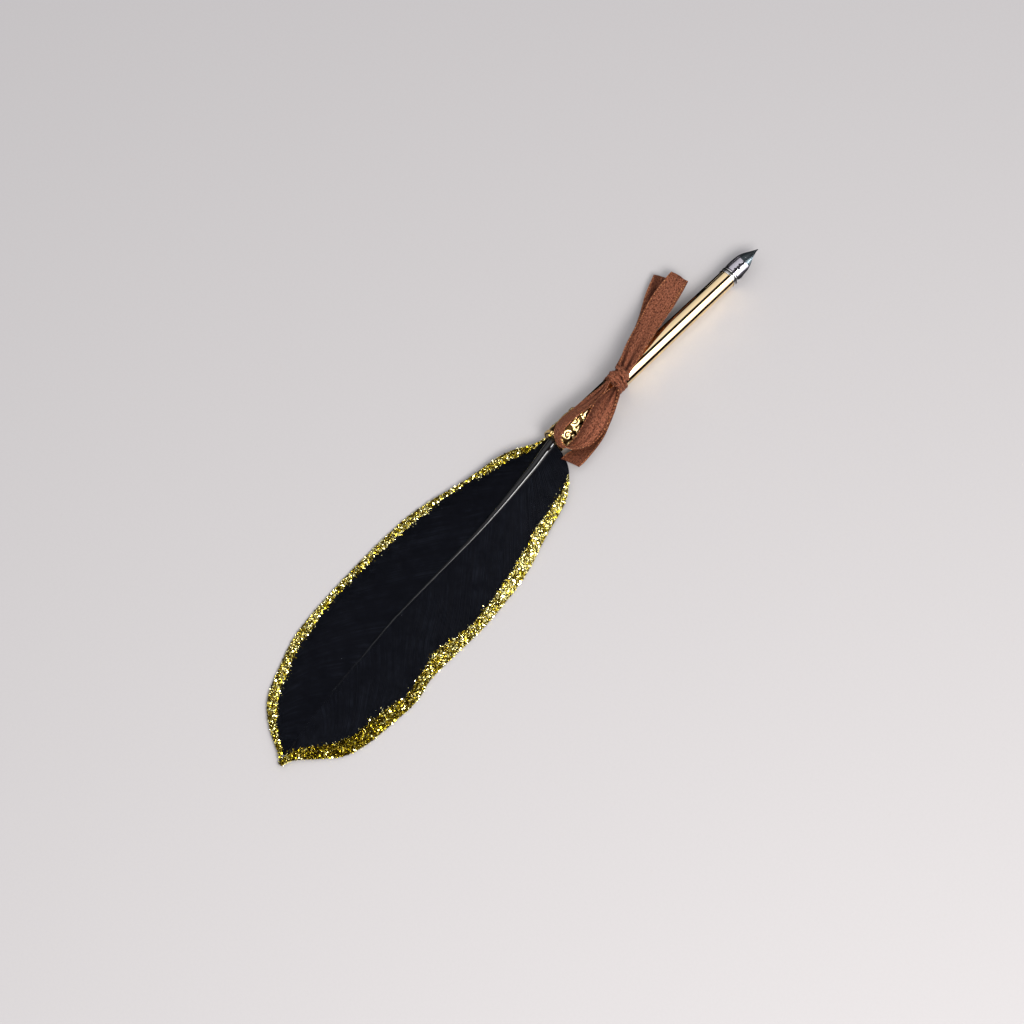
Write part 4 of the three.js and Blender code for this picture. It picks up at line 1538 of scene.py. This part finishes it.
@dataclass
class Bow:
    """A ribbon tied round the barrel: a wrap, a knot, two loops and two tails."""

    sizes: TubeSizes = SIZES
    ribbon_width: float = 7.0
    thickness: float = 0.2
    knot_size: tuple[float, float, float] = (6.8, 6.4, 3.4)
    knot_side: float = -1.0
    gap: float = 0.3
    front_loop: float = 42.1
    front_tail: float = 40.6
    stitch_pitch: float = 1.05
    tuck: float = 1.6
    steps: int = 260
    satin: Satin = Satin("satin_russet", (0.145, 0.028, 0.011, 1), (0.016, 0.0036, 0.002, 1), (0.68, 0.28, 0.16, 1))
    thread: Satin = Satin(
        "selvedge_thread", (0.42, 0.15, 0.06, 1), (0.2, 0.06, 0.025, 1), (0.64, 0.3, 0.14, 1), 0.3, 0.45)

    def strands(self) -> list[Strand]:
        """Sets out the stretches that leave the knot.

        Returns:
            The four stretches.
        """
        z = self.sizes
        end = self.knot_size[0] / 2 + self.gap
        back, front = z.bow_place - end, z.bow_place + end
        to_sleeve_back = -(z.bow_place - z.sleeve_back - end)
        return [
            Strand(
                "loop_back_satin", "loop_back", back, to_sleeve_back,
                [
                    (0, 0.9, 1.22), (0.14, 1.3, 1.15), (0.36, 1.7, 1.16), (0.58, 2, 1.09), (0.78, 2.2, 1.08),
                    (0.94, 0.9, 1.1), (1.02, -1.5, 1.06), (1.04, -3.6, 0.9), (1, -5.1, 0.78), (0.91, -5.1, 0.73),
                    (0.8, -4.9, 0.74), (0.67, -4.1, 0.88), (0.48, -2.6, 1.07), (0.32, -1.5, 1.18),
                    (0.15, -1.3, 1.21), (0, -2, 1.13),
                ],
                [
                    (0, -0.3, 1.38), (0.14, -1.9, 1.45), (0.37, -2.8, 1.58), (0.61, -2.5, 1.53), (0.82, -2.5, 1.54),
                    (0.96, -3.1, 1.46), (1.03, -4.3, 1.34), (1.04, -5.8, 1.22), (1.01, -7.3, 1.08),
                    (0.95, -8.6, 0.94), (0.86, -9.6, 0.76), (0.72, -10.4, 0.59), (0.5, -9.9, 0.56),
                    (0.32, -8.6, 0.69), (0.15, -6.8, 0.93), (0, -4.4, 1.16),
                ],
                # No overall shade; painted shade on the inner side of the returning half.
                True, 11, 0.0, 0.75,
            ),
            Strand(
                "tail_back_satin", "tail_back", back, to_sleeve_back,
                [
                    (0, -3.9, 0.83), (0.17, -4.4, 0.44), (0.32, -4.3, 0.2), (0.5, -4.9, 0.1), (0.69, -5.6, 0.11),
                    (0.87, -6, 0.24), (1, -6, 0.4), (1.1, -6.1, 0.45),
                ],
                [
                    (0, -5.2, 0.9), (0.17, -7.4, 0.64), (0.32, -9, 0.47), (0.5, -10.7, 0.39), (0.69, -11.6, 0.34),
                    (0.84, -12.1, 0.33), (0.93, -12.3, 0.31), (1.01, -12.1, 0.29),
                ],
                # Painted shade over the whole tail.
                False, 12, 0.45,
            ),
            Strand(
                "loop_front_satin", "loop_front", front, self.front_loop,
                [
                    (0, 2.2, 1.34), (0.16, 5.6, 1.18), (0.38, 8.8, 1), (0.65, 12.8, 0.82), (0.92, 15, 0.74),
                    (0.98, 15.3, 0.63), (0.92, 15, 0.51), (0.65, 12.8, 0.61), (0.38, 8.8, 0.85), (0.16, 5.6, 1.07),
                    (0, 2.2, 1.23),
                ],
                [
                    (0, -2.6, 1.31), (0.16, -1.2, 1.33), (0.38, 1.2, 1.3), (0.71, 4.8, 1.04), (0.94, 7.9, 0.8),
                    (1, 8.6, 0.68), (0.94, 7.9, 0.54), (0.71, 4.8, 0.86), (0.38, 1.2, 1.21), (0.16, -1.2, 1.24),
                    (0, -2.6, 1.2),
                ],
                True, 13,
            ),
            Strand(
                "tail_front_satin", "tail_front", front, self.front_tail,
                [
                    (0, 3.2, 1.07), (0.15, 5.4, 0.91), (0.34, 8.4, 0.68), (0.52, 11.9, 0.48), (0.71, 16.2, 0.38),
                    (0.92, 19.8, 0.31),
                ],
                [
                    (0, -1.4, 1.08), (0.15, -0.6, 1.11), (0.35, 2.4, 1.05), (0.56, 5.4, 0.72), (0.79, 9.8, 0.45),
                    (1, 13.4, 0.34),
                ],
                # Painted shade over the whole tail.
                False, 14, 0.25,
            ),
        ]

    def middle_sheet(self, strand: Strand, across: Array) -> tuple[Array, Array, Array]:
        """The ribbon's middle surface, with its curl and its pleats by the knot.

        Args:
            strand: which stretch.
            across: shares across it.

        Returns:
            Places, how far each row lies along the ribbon, and how much painted shade each place takes, with a darker
            band along each selvedge.
        """
        t = np.linspace(0, 1, self.steps)
        left, right = strand.edge(strand.left, t), strand.edge(strand.right, t)
        for edge in (left, right):
            for end in (0, -1) if strand.comes_back else (0,):
                heart = np.array([self.sizes.bow_place, self.knot_side, edge[end][2]])
                edge[end] = edge[end] + unit(heart - edge[end]) * self.tuck * 0.6
        flat = left[:, None] + (right - left)[:, None] * across[None, :, None]
        ahead = unit(np.gradient(flat, axis=0))
        face = unit(np.cross(ahead, (right - left)[:, None] + 0 * flat))
        centre = (left + right) / 2
        run = np.concatenate([[0], np.cumsum(np.linalg.norm(np.diff(centre, axis=0), axis=1))])
        total = run[-1]
        from_knot = np.minimum(run, total - run) if strand.comes_back else run
        gather = np.exp(-from_knot / 9)[:, None]
        pleats = np.sin(across[None] * TAU * 2.3 + strand.seed + 0.09 * run[:, None])
        swing = np.sin(run / total * TAU * 1.3 + strand.seed)[:, None]
        curl = 0.28 * np.sin(np.pi * across)[None] * swing * (1 - gather)
        wave = 0.13 * ripple(run[:, None] / 14, across[None] * 0.7, strand.seed) * (1 - gather)
        crease = ripple(run[:, None] / 55, across[None] * 2.2 + run[:, None] / 40, strand.seed + 40, 4)
        lift = 0.4 * gather * pleats + curl + wave + 0.1 * crease * (1 - gather)
        # Painted shade: in the pleats by the knot, in the long creases and, on a loop's returning half, on its inner
        # side.
        fold = np.clip(gather * (0.2 - 1.3 * pleats), 0, 0.9)
        fold = np.maximum(fold, ramp(crease, -0.25, -1.3) * 0.65)
        # A darker band along each stitched selvedge.
        hem = ramp(np.abs(across - 0.5), 0.4, 0.44) * ramp(np.abs(across - 0.5), 0.49, 0.46)
        inside = ramp(across, 0.6, 0.05)[None]
        fold = np.maximum(fold, strand.inner_shade * inside * ramp(run / total, 0.5, 0.62)[:, None])
        # The painted shade is at least the strand's overall painted shade, and darker along the selvedges.
        return flat + face * lift[..., None], run, np.maximum(np.maximum(fold, 0.6 * hem[None]), strand.shade)

    def strip(self, strand: Strand) -> None:
        """One stretch of ribbon, with its stitched selvedges.

        Args:
            strand: which stretch.
        """
        across = np.linspace(0, 1, 25)
        sheet, run, fold = self.middle_sheet(strand, across)
        ahead = unit(np.gradient(sheet, axis=0))
        over = unit(np.gradient(sheet, axis=1))
        normal = unit(np.cross(ahead, over))
        hem = 1 + 0.7 * ramp(np.abs(across - 0.5), 0.43, 0.475)
        half = self.thickness / 2 * hem[None, :, None]
        top, under = sheet + normal * half, sheet - normal * half
        shell = Shell(marks=WOVEN)
        both = np.concatenate([across, across[::-1]]) * self.ribbon_width
        shell.grid(slab(top, under), along=run[:, None], across=both, fold=slab(fold, fold))
        self.stitches(shell, sheet, normal, ahead, run)
        shell.piece(strand.name, strand.node, "ribbon_satin", self.satin, self.thread)
        log.info("%s: %.1f mm of %.0f mm ribbon", strand.name, run[-1], self.ribbon_width)

    def stitches(self, shell: Shell, sheet: Array, normal: Array, ahead: Array, run: Array) -> None:
        """Rows of thread along both selvedges, on both faces.

        Args:
            shell: what to add them to.
            sheet: the ribbon's middle surface.
            normal: which way it faces.
            ahead: which way it runs.
            run: how far each row lies along it.
        """
        t = np.linspace(-1, 1, 7)
        for column in (1, sheet.shape[1] - 2):
            for face in (1, -1):
                for place in np.arange(self.stitch_pitch, run[-1] - 0.5, self.stitch_pitch):
                    row = np.interp(place, run, np.arange(len(run)))
                    i, f = int(row), row - int(row)
                    j = min(i + 1, len(run) - 1)
                    middle = sheet[i, column] * (1 - f) + sheet[j, column] * f
                    out, way = normal[i, column] * face, ahead[i, column]
                    path = middle + out * self.thickness * 0.8 + np.outer(t * 0.36, way)
                    thick = 0.16 * np.sqrt(np.maximum(1 - t ** 2, 0.03))
                    shell.grid(sweep(path, thick, out, sides=6, flat=0.55), slot=1, along=place)

    def knot(self) -> None:
        """The knot: the ribbon's gathered turn over the strands, creased along its way."""
        z = self.sizes
        wrap_top = float(z.barrel_radius_at(z.bow_place)) + 0.5
        centre = np.array([z.bow_place, self.knot_side, wrap_top + 1.5 * self.gap + self.knot_size[2] / 2])
        half = np.array(self.knot_size) / 2
        u = (np.linspace(0, TAU, 145)[:-1])[None]
        v = np.linspace(-1, 1, 113)[:, None]
        shell = Shell(marks=WOVEN)
        valley = 0.1 + 0.16 * np.cos(u) - 0.05 * np.sin(2 * u)
        roll = np.sqrt(np.clip(1 - ((v - (valley + 1) / 2) / ((1 - valley) / 2 + 0.03)) ** 2, 0, 1))
        bunch = 0.93 * np.clip(1 - np.abs((v - (valley - 1) / 2) / ((1 + valley) / 2 + 0.05)) ** 2.4, 0, 1) ** 0.5
        body = np.maximum(np.maximum(roll, bunch), 0.66 * (1 - v ** 6)) + 0.02
        pleat = np.sin(v * 15 + 1.6 * np.cos(u + 0.6) + 0.9 * ripple(u / TAU * 2, v * 0.6, 21))
        crinkle = ripple(u / TAU * 4, v * 2.6 + u / TAU, 23, 9)
        swell = body * (1 + (0.05 * pleat + 0.06 * crinkle) * (1 - v ** 8))
        deeper = np.where(np.sin(u) < 0, 1.35, 1.0)
        lean = 0.3 * np.cos(u) * (1 - v ** 2)
        rows = np.stack([
            centre[0] + half[0] * v + lean,
            centre[1] + half[1] * np.cos(u) * swell,
            centre[2] + half[2] * np.sin(u) * swell * deeper,
        ], axis=-1)
        groove = ramp(np.abs(v - valley), 0.16, 0.02)
        # Painted shade in the groove, the pleats and the crinkles.
        fold = np.clip(0.9 * groove - 0.5 * pleat - 0.35 * crinkle - 0.15, 0, 0.95)
        shell.grid(rows, along=u * 2.8, across=v * 4.5, fold=fold)
        shell.piece("knot_satin", "ribbon_knot", "ribbon_satin", self.satin)

    def wrap(self) -> None:
        """The turn of ribbon round the barrel, bunched towards the knot."""
        z = self.sizes
        u = np.linspace(0, TAU, 121)[:-1]
        v = np.linspace(-1, 1, 33)
        gather = 0.78 + 0.22 * ramp(np.sin(u), 0.3, -0.8)
        x = z.bow_place + 2.8 * v[:, None] * gather[None]
        ridge = 0.09 * np.sin(v[:, None] * 10 + 0.6 * np.sin(u)[None] * 2)
        outer = z.barrel_radius_at(x) + 0.36 + ridge * (1 - 0.4 * np.abs(v[:, None])) - 0.18 * np.abs(v[:, None]) ** 4
        outer = outer + 0.45 * ramp(np.sin(u), 0.75, 1.0)[None]
        inner = z.barrel_radius_at(x) + 0.04
        top = np.stack([x, outer * np.cos(u), outer * np.sin(u)], axis=-1)
        under = np.stack([x, inner * np.cos(u), inner * np.sin(u)], axis=-1)
        rows = np.concatenate([top, under[::-1], top[:1]], axis=0)
        shell = Shell(marks=WOVEN)
        side = np.concatenate([v, v[::-1], v[:1]]) * 3.5
        crease = np.concatenate([ridge, ridge[::-1], ridge[:1]], axis=0)
        # Painted shade in the hollows between the ridges.
        shell.grid(rows, ends=False, along=u * 3.8, across=side[:, None], fold=np.clip(-crease * 6, 0, 0.7))
        shell.piece("wrap_satin", "ribbon_wrap", "ribbon_satin", self.satin)

    def build(self) -> None:
        """Makes every piece of the bow."""
        self.wrap()
        self.knot()
        for strand in self.strands():
            self.strip(strand)


# ---- Table, light and camera --------------------------------------------------------------------


@dataclass
class Studio:
    """A pale table under long soft boxes that lie along the pen, and the camera."""

    eye: Vector = Vector((-0.4653, -0.4247, 1.2396))
    look: Vector = Vector((0.3310, 0.3054, -0.8928))
    right: Vector = Vector((0.6844, -0.7291, 0.0044))
    lens: float = 146.27
    table_size: float = 3.0
    table_colour: Colour = (0.48, 0.465, 0.472, 1)
    card_ends: tuple[float, float] = (30, 140)
    key_place: Vector = Vector((-0.25, -0.62, 0.72))
    key_size: tuple[float, float] = (0.55, 0.4)
    key_energy: float = 9.5
    key_colour: tuple[float, float, float] = (1, 0.975, 0.94)

    # Brightness of the soft boxes by their angle round the pen, in degrees from its left over its top.
    boxes: tuple[tuple[float, float], ...] = (
        (0, 0.01), (18, 0.01), (30, 0.7), (88, 1.05), (89, 0.01), (116, 0.01), (117, 2.5), (129, 2.5), (130, 32),
        (140, 32), (141, 2.5), (174, 2.5), (175, 0.01), (180, 0.01),
    )

    def world(self) -> None:
        """Long soft boxes for what shines, a plain dome for what is matt and a pale backdrop."""
        world = bpy.data.worlds.new("studio")
        bpy.context.scene.world = world
        world.use_nodes = True
        s = Sheet(world.node_tree)
        world.node_tree.nodes.clear()
        way = s.node("SeparateXYZ", {0: s.node("TexCoord").outputs["Generated"]})
        angle = s.math("ARCTAN2", way.outputs["Z"], way.outputs["Y"])
        bands = s.node("ValToRGB", {"Fac": s.math("DIVIDE", angle, math.pi)})
        stops = bands.color_ramp
        peak = max(value for _, value in self.boxes)
        while len(stops.elements) < len(self.boxes):
            stops.elements.new(1.0)
        for element, (degrees, value) in zip(stops.elements, self.boxes):
            element.position = degrees / 180
            element.color = (value / peak,) * 3 + (1,)
        ends = s.math("ABSOLUTE", way.outputs["X"])
        bright = s.math("MULTIPLY", bands.outputs["Color"], peak)
        strength = s.math("MULTIPLY", bright, s.ramp(ends, 0.97, 0.86, 0.1, 1))
        shine = s.node("Background", {"Color": (1, 0.985, 0.975, 1), "Strength": strength})
        sky = s.ramp(way.outputs["Z"], 0, 1, 0.45, 0.95)
        dome = s.node("Background", {"Color": (0.98, 0.98, 1, 1), "Strength": sky})
        plain = s.node("Background", {"Color": (0.79, 0.775, 0.78, 1), "Strength": 1.0})
        sight = s.node("LightPath")
        mixed = s.node("MixShader", {0: sight.outputs["Is Glossy Ray"], 1: dome.outputs[0], 2: shine.outputs[0]})
        both = s.node("MixShader", {0: sight.outputs["Is Camera Ray"], 1: mixed.outputs[0], 2: plain.outputs[0]})
        s.node("OutputWorld", {0: both.outputs[0]})

    def key(self) -> None:
        """A broad soft key light on the pen's near side, which adds no reflection of its own."""
        light = bpy.data.lights.new("key", "AREA")
        light.shape, light.size, light.size_y = "RECTANGLE", *self.key_size
        light.energy, light.color = self.key_energy, self.key_colour
        lamp = bpy.data.objects.new("key", light)
        turn = self.key_place.to_track_quat("Z", "Y").to_matrix().to_4x4()
        lamp.matrix_world = Matrix.Translation(self.key_place) @ turn
        lamp.visible_glossy = lamp.visible_camera = False
        bpy.context.scene.collection.objects.link(lamp)

    def table(self) -> None:
        """The table top."""
        half, low = self.table_size / 2, CAD_BOX[0].z
        corners = [(x * half, y * half, low) for x, y in ((-1, -1), (1, -1), (1, 1), (-1, 1))]
        other = tuple(c * 0.985 for c in self.table_colour[:3]) + (1,)
        paper = Plain("table_paper", self.table_colour, other, 0.6, 1.2, 0.003, gloss=0)
        self.prop("table_top", corners, [(0, 1, 2, 3)], paper)

    def prop(self, name: str, points: Sequence[tuple], faces: Sequence[tuple], finish: Finish) -> bpy.types.Object:
        """Makes something that is not part of the pen.

        Args:
            name: its name.
            points: its corners, in the row's frame.
            faces: the numbers of the corners of each face.
            finish: what it wears.

        Returns:
            The new object.
        """
        mesh = bpy.data.meshes.new(name)
        mesh.from_pydata(points, [], faces)
        made = bpy.data.objects.new(name, mesh)
        mesh.materials.append(finish.build())
        bpy.context.scene.collection.objects.link(made)
        return made

    def flag(self, name: str, section: Sequence[tuple[float, float]]) -> None:
        """A dark card along the pen that only reflections see.

        Args:
            name: the card's name.
            section: (y, z) points across it, in millimetres from the pen's axis and above the table.
        """
        points = [(x * MM, (y + PEN.start.y) * MM, z * MM) for x in self.card_ends for y, z in section]
        n = len(section)
        faces = [(i, i + 1, n + i + 1, n + i) for i in range(n - 1)]
        black = Plain("card_" + name, (0.003, 0.003, 0.003, 1), (0.004, 0.004, 0.004, 1), 0.9, gloss=0)
        card = self.prop(name, points, faces, black)
        for sight in ("camera", "diffuse", "shadow", "transmission", "volume_scatter"):
            setattr(card, "visible_" + sight, False)

    def camera(self) -> None:
        """The camera."""
        data = bpy.data.cameras.new("camera")
        data.sensor_width, data.lens = 36.0, self.lens
        data.clip_start, data.clip_end = 0.05, 10
        camera = bpy.data.objects.new("camera", data)
        look, right = self.look.normalized(), self.right.normalized()
        up = right.cross(look)
        turn = Matrix((right, up, -look)).transposed().to_4x4()
        camera.matrix_world = Matrix.Translation(self.eye) @ turn
        bpy.context.scene.collection.objects.link(camera)
        bpy.context.scene.camera = camera

    def build(self) -> None:
        """Sets up table, light and camera."""
        self.camera()
        self.table()
        self.world()
        self.key()
        self.flag("far_card", [(3.9, 0.3), (90, 0.3), (92, 6)])
        self.flag("near_card", [(-10, 0.3), (-150, 0.3), (-152, 4)])
        view = bpy.context.scene.view_settings
        view.view_transform, view.look = "Standard", "None"


def main() -> None:
    """Builds the pen's pieces in order and the studio around them."""
    logging.basicConfig(level=logging.INFO, format="%(name)s: %(message)s")
    Studio().build()
    Tube().build()
    Nib().build()
    Filigree().build()
    Feather().build()
    Bow().build()


if __name__ == "__main__":
    main()
